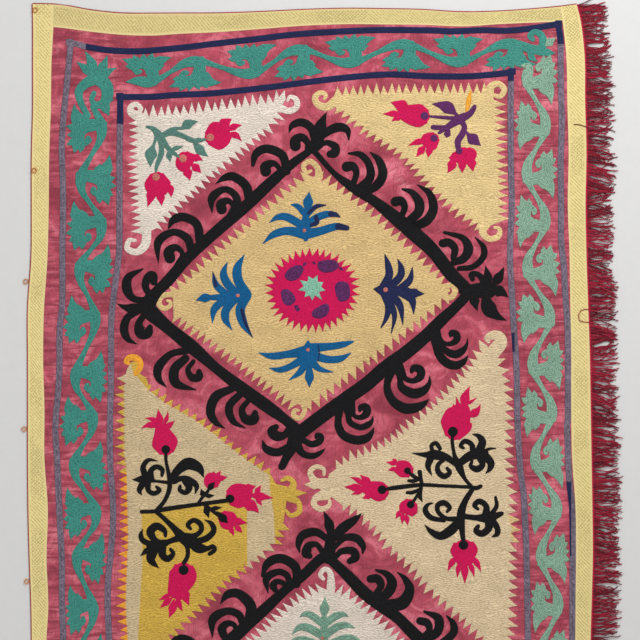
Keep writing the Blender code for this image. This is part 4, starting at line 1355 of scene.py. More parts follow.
vineRight = vineRun(rightOuter, rightInner, 1, rightStops, -1, ((519, 65.5), (540, 876)))
vineFoot = vineRun(footOuter, footInner, 0, footStops, -1, ((132, 912), (520, 930)))
sew("vineLeft", "teal", vineTeal + cornerFlower, contrast=0.2)
sew("vineTop", "teal", vineTop + cornerCurl, contrast=0.2)
sew("vineRight", "mint", vineRight + cornerMint, contrast=0.24)
sew("vineFoot", "teal", vineFoot + atFoot(cornerFlower + cornerCurl + cornerMint, 6), contrast=0.2)


# Tulips: the body's stroke, the dot at its base, and petals as root, tip, width and bend

tulips = {
    "whiteDown": ([(157, 173.5, 13), (157.5, 183, 26), (159, 191, 22), (160, 196, 12)], (156.2, 177.2, 3.8),
                  [((152, 186), (147.4, 207.3), 9.5, -0.05), ((160, 191), (162, 206), 8.5, 0),
                   ((166, 184), (171.4, 197.6), 8.5, -0.12)]),
    "whiteMiddle": ([(182, 154, 12), (186, 161, 23), (192, 165, 17)], (183, 158.6, 4.0),
                    [((191, 158), (203, 160.7), 8, -0.1), ((192, 164), (201.4, 173), 8.5, 0),
                     ((186, 167), (190.3, 180.6), 9.5, 0)]),
    "whiteTop": ([(206.5, 139, 12), (215, 136.5, 28), (224, 134, 24), (230, 132, 12)], (210.3, 137.5, 3.8),
                 [((221, 129), (232, 119), 12, -0.08), ((228, 131), (242.4, 125.3), 7, -0.1),
                  ((228, 134), (241.7, 141.6), 7, -0.15)]),
    "strawLeft": ([(428, 117, 13), (420, 116, 23), (410, 114.5, 20), (400, 112, 12)], (424.4, 116, 4.0),
                  [((409, 111), (390.6, 102.4), 13, 0.05), ((401, 113.5), (382.2, 114.2), 6.5, 0),
                   ((403, 117), (391.4, 121.8), 6.5, 0.1)]),
    "strawMiddle": ([(436.5, 136, 10), (430, 141.5, 19), (425, 147, 14)], (433.9, 138.2, 3.6),
                    [((427, 140.5), (407.5, 146), 6.5, 0.05), ((425, 146), (416, 157), 7.5, 0),
                     ((430, 146), (427.9, 157.8), 7.5, 0)]),
    "strawDown": ([(461, 150, 18), (462.5, 155, 28.5), (463, 161, 23)], (459.1, 151.2, 3.3),
                  [((453, 158), (447.3, 173.2), 9.5, -0.08), ((462, 160), (462.2, 173.2), 8, 0),
                   ((472, 157), (473.1, 171.8), 9.5, 0.05)]),
    "sandUp": ([(452.5, 438, 15), (455.8, 426, 31), (457.4, 418, 28.5), (461, 411, 21), (463, 404, 11)],
               (452.8, 431.6, 5.0),
               [((463.5, 408), (469.8, 386), 9.5, -0.06), ((467, 416), (480.6, 404), 8.5, 0.14),
                ((464, 405), (477.4, 397), 3.6, 0.04), ((459.5, 412), (456, 396), 4.5, 0),
                ((454, 416), (453.4, 403.4), 7, 0)]),
    "sandLeft": ([(387, 493, 13), (380, 491.5, 20), (371, 489, 16), (362, 488, 8)], (382, 489.5, 4.4),
                 [((371, 485), (360, 474.6), 8, 0), ((364, 486), (349.6, 477), 5.5, 0.1),
                  ((364, 488), (343.8, 486.8), 8, 0), ((364, 490), (351, 494.6), 5, 0),
                  ((372, 494), (362.2, 498.6), 6.5, 0)]),
    "sandSmallUp": ([(411.5, 473, 10), (404, 469, 17.5), (396, 466, 12)], (407.4, 470.6, 3.4),
                    [((398, 464), (385.8, 462), 5, 0), ((397, 462), (392, 458.6), 4, 0),
                     ((397, 468), (387.8, 470.3), 5, 0)]),
    "sandSmallDown": ([(412, 501, 12), (408.5, 508, 19.5), (406, 514, 14)], (410.6, 504.4, 3.8),
                      [((406, 514), (407.8, 525.4), 5.5, 0), ((403, 512), (402, 524.2), 5, 0),
                       ((401, 510), (395.6, 518.8), 5.5, 0)]),
    "sandDown": ([(463.5, 542, 20), (464, 550, 27.5), (464.5, 559, 20), (465, 566, 12)], (463.4, 544.8, 4.8),
                 [((457, 556), (447.6, 571.5), 6.4, 0.06), ((461, 561), (457.2, 578), 5.5, 0.05),
                  ((464.6, 561), (464.8, 584), 7.5, 0), ((468, 561), (474.2, 577.2), 5.5, -0.05),
                  ((471, 556), (481, 572), 6.4, -0.06)]),
    "leftUp": ([(167, 453.5, 14), (165, 443, 26), (162.5, 431, 16), (161.5, 424, 11)], (165.9, 449.3, 4.3),
               [((161, 426), (158.1, 409), 7.5, 0), ((160, 425), (144.8, 418), 5.5, 0.12),
                ((159, 427), (141, 428.8), 6.5, 0.16), ((163, 425), (168.1, 410.6), 4.5, 0.08),
                ((165, 429), (175, 420.4), 6, 0)]),
    "leftMain": ([(228, 498, 15), (236, 496, 24.5), (246, 495, 21), (252, 496, 11)], (230.2, 498.6, 4.3),
                 [((243, 488.5), (256, 485.8), 9, 0.05), ((250, 495), (273.6, 498), 8.5, 0),
                  ((255, 494), (261.4, 485), 5.5, 0), ((256, 497), (262.2, 505.8), 5, 0),
                  ((242, 503), (259, 513.2), 12, -0.12)]),
    "leftSmallUp": ([(208, 487, 9), (212, 481, 17), (218, 477, 11)], None,
                    [((212, 479), (214, 471), 5.5, 0), ((216, 478), (221, 470.2), 4.5, 0),
                     ((217, 479), (227.7, 476.8), 6, 0)]),
    "leftSmallDown": ([(221, 514, 10), (228, 520, 19), (235, 525, 13)], None,
                      [((232, 520), (247.6, 523.2), 7.5, 0), ((235, 525), (242.5, 532.8), 6, 0),
                       ((230, 526), (234, 536), 5.5, 0)]),
    "leftDown": ([(184, 564.5, 18), (183, 575, 28), (178, 588, 21), (174, 598, 14)], (183.7, 569.8, 5.0),
                 [((172, 594), (158.6, 600), 5.5, 0), ((172, 598), (159.8, 607.8), 6.5, 0),
                  ((174, 600), (168.8, 618), 8.5, -0.05), ((177, 597), (183, 611.4), 6.5, 0.05),
                  ((184, 587), (189.4, 605.4), 10, 0.06)]),
}


def tulipShapes(name):
    body, _, petals = tulips[name]
    (x, y, width), ahead = body[:2]
    size = math.hypot(ahead[0] - x, ahead[1] - y)
    inward = 0.36 * width / size
    crown = dot(x + (ahead[0] - x) * inward, y + (ahead[1] - y) * inward, width * 0.5)
    return [brush(*body, rounded=False), crown] + [leaf(*petal) for petal in petals]


def dotsOf(*stems):
    return [dot(*spot) for name, (_, spot, _) in tulips.items() if spot and name.startswith(stems)]


everyTulip = [shape for name in tulips for shape in tulipShapes(name)]
repeated = [name for name in tulips if name.startswith(("white", "straw"))]
headTulips = [shape for name in repeated for shape in tulipShapes(name)]
sew("tulips", "magenta", everyTulip + atFoot(headTulips), height="motif", contrast=0.12)


# The green and plum sprigs of the head corners

greenSprig = drawn(
    [(146.8, 126.8, 2.5), (153.5, 129.1, 5), (159.1, 135.4, 8.5), (163, 140.3, 6), (168.9, 148.8, 5),
     (179.5, 157.6, 3)],
    [(160, 137, 7), (165, 135, 5), (171.7, 132.6, 6.5), (183, 136.1, 5), (194.2, 141, 5), (206, 139.4, 2.5)],
    [(163, 135, 5), (173.1, 129.1, 3.8), (184, 128.4, 2.8)],
    [(160, 138, 7), (161.5, 146, 5), (161.2, 154.4, 5.8), (157, 165.6, 4), (155.8, 173, 2)],
    [(157, 135, 5), (155.2, 141, 3), (152.5, 149, 3)],
    leaf((182, 128.6), (198.4, 121.4), 10, -0.08, 0.35), leaf((194, 142.5), (208.4, 156.8), 9.5, 0.05, 0.45),
    leaf((171, 149.5), (183.6, 146.4), 4.8), leaf((168.4, 151), (170.4, 162.4), 6.5),
    leaf((153.2, 146), (150.6, 167.2), 12.5, 0.05, 0.38), leaf((195, 141), (201, 138), 4),
)
plumSprig = drawn(
    [(474.4, 106.8, 4.2), (472.5, 110.5, 5.5), (468.8, 114.6, 6.5), (460, 119, 9), (449.2, 125.9, 6.5),
     (439, 133, 3)],
    [(457.5, 118.5, 4), (443.1, 117.6, 3.6), (428.5, 116.4, 2.2)],
    [(460, 119.5, 6), (464.3, 127, 5.5), (462, 134.5, 6.5), (457.8, 141.5, 6.5), (458.8, 151, 5)],
    leaf((455.5, 113.8), (431.4, 104), 12.5, 0.1, 0.35), leaf((459, 117), (452, 111.5), 4),
    leaf((467.5, 134.5), (480.8, 146), 12, 0.0, 0.38), [(463, 130, 3), (467, 133, 2.5), (470, 136, 4)],
    leaf((449, 127), (446.4, 138), 7, 0, 0.7), [(447, 127, 4), (440, 127.8, 5), (433, 127.4, 5)],
)
orangeStroke = drawn([(470.6, 91, 1.5), (468.6, 101, 5.2), (466.6, 111, 2.6)])
sew("greenSprig", "leafGreen", greenSprig + atFoot(greenSprig), height="motif")
sew("plumSprig", "plum", plumSprig + atFoot(plumSprig), height="motif")
sew("plumDots", "plum", dotsOf("straw") + atFoot(dotsOf("straw")), height="detail")
sew("orangeStroke", "orange", orangeStroke, height="motif")

sew("baseDots", "dustyPink", dotsOf("white") + atFoot(dotsOf("white")), height="detail")
blackDots = dotsOf("sand", "left") + [leaf((208, 490), (215, 481.5), 6.5),
                                      leaf((217, 512), (228, 523), 8.5, 0, 0.55)]
sew("blackDots", "black", blackDots, height="detail", contrast=0.35)


# The black trees of the side triangles

sandTree = drawn(
    [(480.5, 486.2, 4), (476, 488, 4.6), (470, 487, 3.6), (444, 485.8, 3.6), (422, 484.8, 4), (400, 487, 4.6),
     (386, 489, 4)],
    [(471.9, 487, 3.6), (464.5, 478.2, 4.1), (458.7, 466, 8.1), (454.3, 454.7, 4.1), (452.2, 441.5, 3.6),
     (452.6, 436, 4.6)],
    [(456.5, 465, 4.6), (447, 457.6, 7.2), (435.5, 454.7, 9.9), (425, 454.7, 5.5), (412, 453, 0.6)],
    [(433.7, 454, 4.6), (431.3, 446, 4.1), (436, 443.2, 4.6), (440, 448.5, 4.1)],
    [(431, 457, 7.7), (428, 466.2, 5.9), (431.8, 475.6, 0.6)],
    [(444.5, 459, 4), (438.2, 464.5, 4.6), (438, 471.5, 5.5), (444, 476.2, 5.9), (449.8, 472.5, 4.6),
     (447, 468.2, 3.5)],
    [(459.5, 463, 7.2), (469, 456.2, 9), (479.5, 453, 11.6), (484, 453, 9)],
    [(473, 452, 6.3), (471.5, 444.5, 5.5), (465, 441, 5), (460.5, 445.5, 4.1), (463.5, 448, 3)],
    [(479.5, 450, 8.5), (482.3, 441.8, 7.7), (478.5, 436, 5), (472.2, 434, 0.6)],
    [(483, 452, 4.1), (489, 448.8, 3), (495.8, 448.2, 1)],
    [(483.6, 454, 8.1), (490.6, 462.5, 7.7), (489.5, 469, 5), (485.4, 473.4, 0.6)],
    [(479.5, 457, 7.2), (482.5, 464.5, 5.9), (477, 469, 6.8), (470.8, 466, 4.6), (472, 461, 3)],
    [(473, 488, 4.6), (464.8, 501.6, 6.3), (460.9, 514.8, 8.5), (462.2, 532.4, 5.5), (463.4, 541, 4.6)],
    [(459, 518.8, 5.5), (446, 518.2, 4.6), (438, 511.5, 4.6), (438, 504.8, 5.5), (444.3, 502.8, 5.9),
     (449.6, 507.5, 4.6), (447, 511.5, 3)],
    [(444, 520.4, 4.1), (431, 517.5, 5.5), (425.2, 510.3, 5.6), (428, 504.4, 3.5), (433.6, 502.8, 0.6)],
    [(459, 519.8, 6.3), (452.6, 528.5, 9.9), (441, 535.6, 8.5), (431, 531.3, 5.5), (424.6, 524.6, 0.6)],
    [(462.5, 516, 5.5), (476, 517.6, 5.9), (488, 517.6, 10.7), (496, 515.5, 6.8), (501.5, 513.4, 4.6)],
    [(486, 514, 8.1), (486, 506, 5.9), (479.6, 501.2, 5.9), (474.4, 505, 5), (478, 509, 3)],
    [(491, 514, 4.6), (496.4, 506, 4.4), (495.4, 497, 2.8)],
    [(489, 520, 9), (488.4, 528, 7.7), (482, 533.4, 6.8), (476, 530.6, 5.9), (478, 526, 4)],
    [(491, 518.6, 7.2), (496.8, 527, 5.9), (497, 533.6, 5.5), (491.4, 537, 0.6)],
    [(422, 484.8, 4), (420.6, 478, 4), (419.6, 471.8, 4.6)],
    [(420.5, 480, 3.5), (413.5, 476, 4), (407.4, 471, 3.5)],
    [(419.5, 479, 3), (413.5, 480.8, 4.1), (408.4, 480.6, 3)],
    [(421, 487, 4), (419.4, 494.5, 5.5), (422.2, 501.5, 1)],
    [(420, 489, 3), (413, 492.2, 4), (407, 492.6, 3.2)],
    [(419, 492, 3), (414.8, 499, 3.2), (411.5, 503.5, 4)],
)
leftTree = drawn(
    [(141.6, 511.6, 3.8), (154.4, 511.2, 4), (165.9, 509, 4.8), (188.9, 505.5, 4.2), (206.1, 503.2, 4.2),
     (228.5, 500.2, 4.2)],
    [(156.2, 511, 4.6), (164.8, 500.4, 4.2), (169.4, 489, 4.8), (169.4, 477.4, 4.6), (166.2, 461, 3.2),
     (166, 452, 4)],
    [(169, 482.5, 4), (160, 481.5, 3), (154.4, 480.8, 3.4), (146.6, 478.8, 9.9)],
    leaf((149, 479), (132, 479.6), 8, 0.0),
    [(151, 479, 7.2), (151, 470.8, 5.9), (156.6, 466.6, 5), (162.4, 469.6, 5), (162, 475.4, 3.2)],
    [(146, 477, 7.2), (143.2, 467.3, 5.6), (148.5, 460, 4.2), (157.6, 460.9, 0.6)],
    [(147.6, 482, 7.2), (148.8, 490.6, 5), (154.4, 493.3, 4.9), (159.6, 490, 4.6), (156.6, 486.8, 3)],
    [(144, 482, 6.8), (139.6, 489.8, 5.6), (141.9, 495, 0.6)],
    [(171.5, 479.5, 7.2), (178.5, 469.8, 9), (188.5, 463.5, 12.1), (199, 468, 9), (203.8, 477.2, 0.8)],
    [(174, 481.5, 5.5), (182, 478.2, 5.5), (190, 480, 6.3), (196.6, 486, 5.5), (195.1, 494, 0.6)],
    [(184.5, 480, 6.3), (189.2, 487, 7.2), (185.6, 492.6, 5), (180, 489.8, 4.6), (180.2, 486, 3.2)],
    [(156.7, 511.8, 4.4), (165.9, 519.9, 4.8), (175.1, 529.1, 6.7), (182, 537.1, 9.9), (187.2, 546.3, 5.1),
     (187.7, 555.5, 4.4), (184, 563, 4.6)],
    [(184.3, 536.5, 8.1), (194.6, 535.6, 5.5), (201.3, 530, 5), (200, 523.4, 5.5), (193.5, 520.2, 4.9),
     (188, 524.6, 4.8), (190.6, 528.6, 3.4)],
    [(191, 541, 4.6), (204.9, 539, 6.5), (213.6, 531.2, 5.8), (211.6, 523.6, 4.9), (204.6, 519.6, 0.6)],
    [(187, 538, 7.2), (198.1, 547.2, 11.2), (207, 548.4, 5.6), (213, 546.2, 4.6), (214.6, 550, 4.6),
     (209.6, 553.8, 4)],
    [(181, 537, 8.1), (169.4, 541.3, 5.5), (159, 545.1, 11.2), (150.5, 547, 8.1)],
    [(160, 543, 6.3), (154.6, 539.6, 6.3), (150.6, 531.6, 8.5), (156.8, 526, 7.6), (164.4, 530.4, 5.5),
     (165.6, 535.8, 3.2)],
    [(152, 544.5, 6.3), (143.3, 540.5, 5.5), (140.9, 534.8, 4.6), (142.8, 529, 0.6)],
    leaf((151, 547), (140.2, 556), 6),
    [(153.3, 549, 11.2), (151.2, 559.6, 8.5), (158.8, 567.8, 0.8)],
    [(162, 547, 9), (162.8, 555.2, 7.4), (168.2, 558.6, 6.5), (173.2, 553.4, 4.9), (170.6, 549, 3.2)],
    [(198.1, 503.4, 3), (202.7, 496.9, 3.2), (208, 491, 3.4)], leaf((204, 497), (201, 488.6), 6),
    leaf((205, 496), (214.8, 495.4), 4.6),
    [(204.9, 504.5, 4), (211.8, 510.2, 3.4), (219, 515.6, 3.6)], leaf((210, 508.6), (222.4, 507.4), 4.6),
    leaf((205, 506), (209, 518), 6.5),
)
sew("sandTree", "black", sandTree, height="motif", contrast=0.35)
sew("leftTree", "black", leftTree, height="motif", contrast=0.35)


# The blue plants round the rosette

bluePlants = drawn(
    [(305.8, 239, 5), (305, 231, 13), (305.6, 218, 7), (307, 209, 5.5)],
    leaf((307, 213), (309.2, 191.6), 10, 0.0, 0.5),
    [(304.8, 214, 6), (298, 206.5, 5.5), (291, 204.6, 1)],
    [(307, 215, 6), (316, 206.5, 4.5), (325.8, 205.2, 1)],
    [(303, 226, 8), (288, 217.6, 8), (278, 217.2, 6), (269.4, 222.6, 0.6)],
    [(307, 225, 8), (318, 217.2, 7.6), (330, 214, 6.2), (340, 217.2, 0.6)],
    [(305, 234, 11), (288, 231, 8.4), (274, 234.4, 7), (262.8, 243.6, 0.6)],
    [(306, 234, 11), (320, 231.2, 8.4), (336, 226.6, 7.4), (347, 228, 4.5)],
    [(308, 342, 3), (308.4, 350, 14), (309.4, 360, 12), (309.4, 368, 6)],
    leaf((309.4, 363), (309.4, 387.8), 9, 0.0, 0.55),
    [(307, 351, 12), (288, 354.2, 7.6), (272, 356, 6.8), (259, 352.8, 0.8)],
    [(311, 348, 10), (330, 346.4, 7.4), (343, 344.4, 6.4), (352.6, 341.6, 2.5)],
    [(306, 357, 9), (292, 365.6, 6.8), (280, 369.8, 5.8), (269.4, 368, 0.8)],
    [(312, 355, 9), (328, 359.4, 7.4), (341, 358.4, 6.4), (351, 352.8, 0.8)],
    [(307, 361, 8), (300, 372, 6.4), (289, 380, 0.8)], [(311, 360, 8), (319, 368.6, 6), (333, 372.2, 0.8)],
    [(250.8, 294.6, 2), (240, 295.4, 13), (226, 297, 8), (212, 297.6, 5.4)],
    leaf((214, 297.5), (195.6, 300.8), 9, 0.06, 0.45),
    [(247, 294, 9), (238.6, 281, 9.4), (237.6, 268, 8.4), (244.4, 254.6, 0.6)],
    [(247, 296, 9), (240.4, 309, 9.4), (243.4, 323, 8.4), (252.6, 337.4, 0.6)],
    [(236, 293, 8), (227, 283, 8.4), (223.6, 273, 7), (227.4, 262.4, 0.6)],
    [(236, 298, 8), (226.6, 309, 8.4), (225.6, 319, 7.4), (232, 330, 0.6)],
    [(226, 294, 7), (216.4, 285, 6.6), (212.8, 271.6, 0.6)],
    [(226, 299, 7), (214.6, 309, 7.4), (212.4, 323, 0.6)],
)
navyPlant = drawn(
    [(373.6, 289, 1), (384, 290, 13), (397, 291, 10), (408, 290.6, 6)],
    leaf((404, 290.5), (424.6, 293.8), 9, 0.04, 0.5),
    [(383, 287, 8), (389, 275.5, 8), (388, 265, 6.4), (384.6, 254.2, 0.6)],
    [(390, 287, 8), (400, 276.5, 7.6), (401, 268, 6.2), (397.6, 259, 0.6)],
    [(400, 288.5, 7), (409.6, 280, 6.8), (412.4, 267, 0.6)],
    [(384, 293, 8), (388.6, 306, 7.4), (386.2, 318, 4.6), (381.2, 327.4, 1.6)],
    [(388, 299, 8), (394.4, 315, 5.4), (391.2, 333.8, 0.6)],
    [(391, 294, 8), (400, 306, 7), (403, 325, 0.6)], [(400, 292, 8), (411.6, 299.4, 8), (413.8, 314.2, 0.6)],
)
navyTips = drawn(
    [(308.5, 213, 3), (316.5, 206.6, 4.2), (326, 205, 1)],
    [(331, 214, 6), (336, 214.8, 4.5), (340.2, 217.2, 0.8)],
    [(338.5, 226.4, 7), (347, 228, 5)], [(311.5, 225, 4), (317, 222.5, 4.5), (316, 217, 4)],
    [(242, 310, 3.5), (245.5, 323, 3), (252.4, 337, 0.6)], [(216, 285.5, 3.5), (212.9, 272, 0.6)],
    [(318, 344.5, 0.9), (319.2, 352, 1.1), (318.4, 361, 0.9)],
)
sew("bluePlants", "blue", bluePlants, height="motif")
sew("navyPlant", "navy", navyPlant, height="motif")
sew("navyTips", "navy", navyTips, height="detail")
plantDots = [dot(304.4, 230.6, 1.8), dot(308, 349.8, 1.9), dot(238, 295.6, 1.9), dot(385.6, 289.7, 2.4),
             dot(322.4, 638, 1.7)]
middleDots = [(312.5, 288), (291.5, 276), (323, 264.6), (342.5, 287), (323, 309.5)]
plantDots += [dot(x, y, 1.6) for x, y in middleDots]
sew("plantDots", "dustyPink", plantDots, height="detail")

rosette = {"centre": (312.6, 290.0), "across": 39.4, "down": 34.2, "teeth": 8.8, "pitch": 6.4}


def rosetteShape(centre, degrees=0.0):
    turns = np.linspace(0, 2 * math.pi, 73)
    ring = np.stack([rosette["across"] * np.cos(turns), rosette["down"] * np.sin(turns)], axis=1)
    return placed(teeth(ring, rosette["pitch"], rosette["teeth"], 0.15, 0.1), centre, degrees)


def starShape(centre, points, outer, inner):
    turns = np.arange(points * 2) * math.pi / points - 0.5
    reach = np.where(np.arange(points * 2) % 2 == 0, outer, inner)
    reach = reach * (1 + chance.uniform(-0.12, 0.12, len(reach)))
    return np.stack([centre[0] + reach * np.cos(turns), centre[1] + reach * np.sin(turns)], axis=1)


plumPatches = [
    blob((284.5, 276), (289, 269), (296, 265.5), (302, 266), (303.5, 270.5), (298.5, 278.5), (290, 281)),
    blob((318, 262.5), (326, 260), (335, 260.5), (339, 266), (333, 271.5), (324, 272.5), (318.5, 269)),
    blob((335, 286), (339, 281.5), (347, 283), (350, 290), (348.5, 299), (340, 301.5), (336, 295)),
    blob((312, 312), (318, 307), (326, 303.5), (329.5, 308), (327, 315), (320, 318.5), (313, 317)),
    blob((281, 292), (286, 289), (292.5, 293), (295.5, 300), (290, 305.5), (283.5, 303)),
    blob((294, 306), (297.5, 305.5), (300, 309.5), (297, 311.5)),
    leaf((303, 266), (307, 261.5), 3), leaf((316, 264), (311.5, 261.5), 2.6),
    leaf((339, 267), (343.5, 271), 3),
]
midLow = (326.0, 697.0)
sew("rosette", "magenta", [rosetteShape(rosette["centre"]), rosetteShape(midLow, 4.0)], height="motif",
    contrast=0.12)
sew("plumPatches", "plum", plumPatches + [shape + [13.4, 407.0] for shape in plumPatches], height="detail",
    contrast=0.3)
sew("rosetteStar", "paleTeal", [starShape((312.5, 288), 9, 13.8, 8.2), starShape(midLow, 9, 13.8, 8.2)],
    height="detail")

palm = drawn(
    [(324.6, 664, 4), (324.4, 655, 10), (324.2, 640, 8.5), (324, 618, 6)],
    leaf((324, 618), (325, 597), 9.5, 0.0, 0.45),
    [(322, 623, 7), (312, 615.6, 7), (305, 613.8, 5), (299.8, 616.8, 0.6)],
    [(326, 623, 7), (336, 615.8, 7.5), (343, 614.2, 5), (348.4, 616.2, 0.6)],
    [(322, 635, 8), (308, 627.6, 8), (299, 627.4, 6), (292.2, 634, 0.6)],
    [(326, 634, 8), (338, 626.4, 7.5), (347, 625.2, 5.4), (354.8, 627.8, 0.6)],
    [(322, 647, 9), (306, 640.6, 8), (295, 640.6, 6), (286.6, 646, 0.6)],
    [(327, 647, 9), (342, 639.2, 8), (353, 638, 6), (362.4, 642.4, 0.6)],
)
sew("palms", "palmGreen", palm + turnedOver(palm, 1394.0, 3.0), height="motif", contrast=0.26)


# The yarn fringe of the right side

fringe = {
    "yarns": 1150,
    # How far the yarns stand out past the heading
    "reach": 0.062,
    "start": 0.003,
    "scatter": 0.0012,
    "endGap": 0.002,
    "headingWidth": 0.0060,
    "headingHigh": 0.0022,
    "headingBase": 0.0012,
    "headingThick": 0.0022,
    "headingRow": 0.012,
    "thick": 0.00135,
    "rings": 9,
    "clump": 0.017,
    "bunching": 0.22,
    # Where the yarns part, by photo pixels
    "gaps": [288.0, 313.5, 398.0, 418.0, 434.0, 566.0],
    "dark": (84, 9, 24),
    "bright": (156, 28, 54),
    "heading": (196, 34, 72),
    "seed": 11,
    # Two loose yarns that stray over the band, by photo pixels
    "stray": [[(574, 124.5), (580, 125), (586, 127), (593, 128)],
              [(594, 310), (583, 309.5), (578.5, 314), (580, 321), (592, 322.5)]],
}


# Which way the yarns lean, by their place along the cloth
def yarnLean(along):
    f = (cloth["halfLength"] - along) / 0.066
    lock = np.where(f < 1.1, (0.15 + 0.32 * f) * softStep((1.10 - f) / 0.30), 0.0)
    droop = 0.12 * hump((along - 0.985) / 0.06) + 0.16 * hump((along - 0.690) / 0.08)
    return lock - droop + 0.08 * np.sin(20 * along + 1) + 0.04 * np.sin(37 * along + 2.2) - 0.04


def yarnPaint():
    paint = Paint("fringeYarn", Roughness=0.75, Sheen_Weight=0.06, Specular_IOR_Level=0.2)
    place = paint.place()
    shade = paint.attribute("shade")
    fleck = paint.noise(place, 340.0, 2.0, 0.6)
    dark = fromScreen(*fringe["dark"])
    bright = fromScreen(*fringe["bright"])
    tone = paint.ramp(shade * 0.6 + fleck * 0.55, 0.25, 0.95)
    paint.feed("Base Color", paint.mix(tone, dark, bright))
    paint.bump(fleck, 0.0006, 0.8)
    return paint.material


def addYarn(data, x, y, z, radius):
    spline = data.splines.new("POLY")
    spline.points.add(len(x) - 1)
    rows = np.stack([*fromOrigin(x, y), z, np.ones(len(x))], axis=1)
    spline.points.foreach_set("co", rows.ravel())
    spline.points.foreach_set("radius", radius)


def makeFringe():
    draw = np.random.default_rng(fringe["seed"])
    count = fringe["yarns"]
    ends = cloth["halfLength"] - fringe["endGap"]
    roots = np.linspace(-ends, ends, count) + draw.uniform(-fringe["scatter"], fringe["scatter"], count)
    roots = np.clip(roots, -ends, ends)
    clumps = np.round((roots + 0.004 * np.sin(61 * roots)) / fringe["clump"])
    clumpLean = draw.normal(0, 0.10, 400)[(clumps + 200).astype(int)]
    clumpReach = draw.uniform(0.90, 1.10, 400)[(clumps + 200).astype(int)]
    t = np.linspace(0, 1, fringe["rings"])
    gaps = [onCloth(0, py)[1] for py in fringe["gaps"]]
    data = bpy.data.curves.new("fringeYarns", "CURVE")
    data.dimensions = "3D"
    data.bevel_depth = fringe["thick"]
    data.bevel_resolution = 1
    data.use_fill_caps = True
    for i, root in enumerate(roots):
        reach = fringe["reach"] * clumpReach[i] * draw.uniform(0.82, 1.08)
        curl = 0.24 + 0.9 * hump((root - 1.010) / 0.035) + 0.5 * hump((root - 0.905) / 0.05)
        lean = yarnLean(root) + clumpLean[i] + draw.normal(0, 0.12) + draw.normal(0, 1) * curl * t
        steps = reach / (len(t) - 1)
        out = np.concatenate([[0], np.cumsum(np.cos(lean[1:]) * steps)])
        up = np.concatenate([[0], np.cumsum(np.sin(lean[1:]) * steps)])
        up += fringe["bunching"] * (clumps[i] * fringe["clump"] - root) * softStep(t)
        for place in gaps:
            up += 0.0075 * np.sign(root - place) * math.exp(-((root - place) / 0.014) ** 2) * softStep(t)
        sway = draw.uniform(0.0008, 0.0026)
        sway = sway * np.sin(2 * math.pi * (t * draw.uniform(1.2, 2.6) + draw.uniform()))
        layer = draw.uniform(0, 2.4)
        x = float(sideLines[-1](root)) + fringe["start"] + out
        y = float(layCloth(cloth["halfWidth"], root)[1]) + up + sway * t
        arch = layer * (0.35 + 0.65 * np.sin(math.pi * np.minimum(t * 1.4, 1)))
        addYarn(data, x, y, fringe["thick"] * (1.15 + arch) + 0.0009 * (1 - t), 1.0 - 0.25 * t)
    for rows in fringe["stray"]:
        path = throughPoints(rows, step=0.5)
        path = path[np.round(np.linspace(0, len(path) - 1, len(t))).astype(int)]
        high = np.full(len(t), cloth["bandThick"] + fringe["thick"] * 0.8)
        addYarn(data, *onCloth(path[:, 0], path[:, 1]), high, np.full(len(t), 0.75))
    makeActive(addObject("fringeYarns", data))
    bpy.ops.object.convert(target="MESH")
    thing = bpy.context.object
    everyYarn = count + len(fringe["stray"])
    shades = np.repeat(draw.uniform(0, 1, everyYarn), len(thing.data.vertices) // everyYarn)
    setFloat(thing, "shade", np.resize(shades, len(thing.data.vertices)))
    finishPiece(thing, yarnPaint())
    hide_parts("fringe")
    print("fringe:", count, "yarns,", len(thing.data.polygons), "faces")


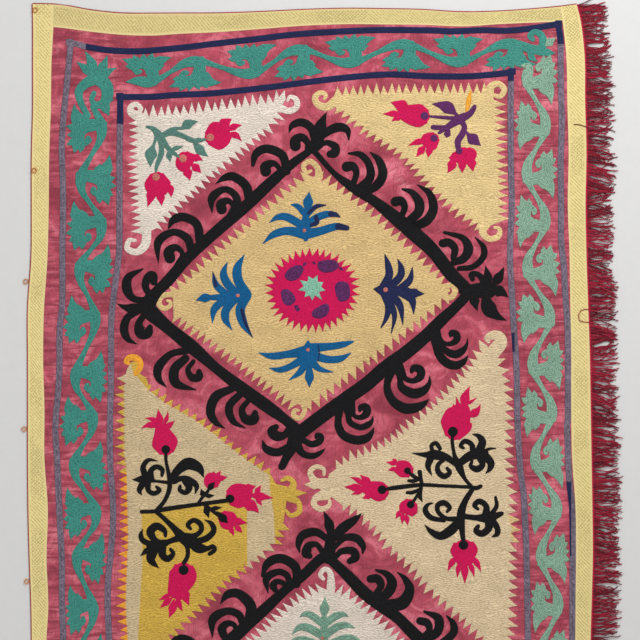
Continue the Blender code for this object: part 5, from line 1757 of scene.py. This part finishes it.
# The bright braid that holds the yarns, as a low strip beside the band
def makeHeading():
    rows = round(2 * cloth["halfLength"] / fringe["headingRow"])
    thing, unit = addGrid("fringeHeading", 4, rows)
    across = np.full(len(unit), cloth["halfWidth"])
    along = unit[:, 1] * 2 * cloth["halfLength"]
    x, y = layCloth(across, along)
    x = x + 0.0002 + (unit[:, 0] + 0.5) * fringe["headingWidth"]
    high = fringe["headingHigh"] * (0.6 + 0.4 * np.cos(unit[:, 0] * 2.4))
    setPoints(thing, x, y, high + fringe["headingBase"])
    thicken(thing, -fringe["headingThick"])
    paint = Paint("headingBraid", Roughness=0.7, Sheen_Weight=0.05, Specular_IOR_Level=0.2)
    place = paint.place()
    twist = ((paint.axis(place, "Y") + paint.axis(place, "X") * 0.8) * 900.0).maths("SINE") * 0.5 + 0.5
    base = fromScreen(*fringe["heading"])
    fleck = paint.noise(place, 300.0, 2.0)
    # Painted shade and light: the braid darkens in the twist's grooves and lightens on its ridges, with
    # random flecks
    tone = paint.ramp(twist * 0.5 + fleck * 0.5, 0.2, 0.8)
    paint.feed("Base Color", paint.mix(tone, tint(base, 0.55), tint(base, 1.15)))
    paint.bump(twist, 0.0008, 0.8)
    finishPiece(thing, paint.material)


makeFringe()
makeHeading()


# Finishes of the parts kept from the frame: rings, their threads, and the edging

trim = {
    "copper": (0.86, 0.40, 0.15),
    "tarnish": (0.50, 0.20, 0.075),
    "threadOrange": (196, 104, 40),
    "edging": (150, 26, 48),
}


def ringPaint():
    paint = Paint("ringCopper", Metallic=1.0, IOR=1.5)
    worn = paint.noise(paint.place(), 420.0, 3.0, 0.6)
    paint.feed("Base Color", paint.mix(paint.ramp(worn, 0.38, 0.68), trim["tarnish"], trim["copper"]))
    paint.feed("Roughness", 0.24 + worn * 0.28)
    paint.bump(worn, 0.0002, 0.5)
    return paint.material


def trimPaint(name, colour, stretchX, stretchY):
    paint = Paint(name, Roughness=0.6, Sheen_Weight=0.06, Specular_IOR_Level=0.25)
    place = paint.place()
    fibre = paint.streaks(place, stretchX, stretchY, 3.0, 0.6)
    base = fromScreen(*colour)
    paint.feed("Base Color", paint.mix(paint.ramp(fibre, 0.3, 0.7), tint(base, 0.6), tint(base, 1.2)))
    paint.bump(fibre, 0.0006, 0.8)
    return paint.material


def dressFrame():
    finishes = {"ring_tie": trimPaint("tieThread", trim["threadOrange"], 1500.0, 1500.0), "ring": ringPaint(),
                "edging": trimPaint("crimsonEdging", trim["edging"], 120.0, 260.0)}
    for thing in bpy.data.objects:
        stems = [stem for stem in finishes if thing.type == "MESH" and thing.name.startswith(stem)]
        if stems:
            thing.data.materials.clear()
            thing.data.materials.append(finishes[max(stems, key=len)])
    print("rings, threads and edging finished")


dressFrame()
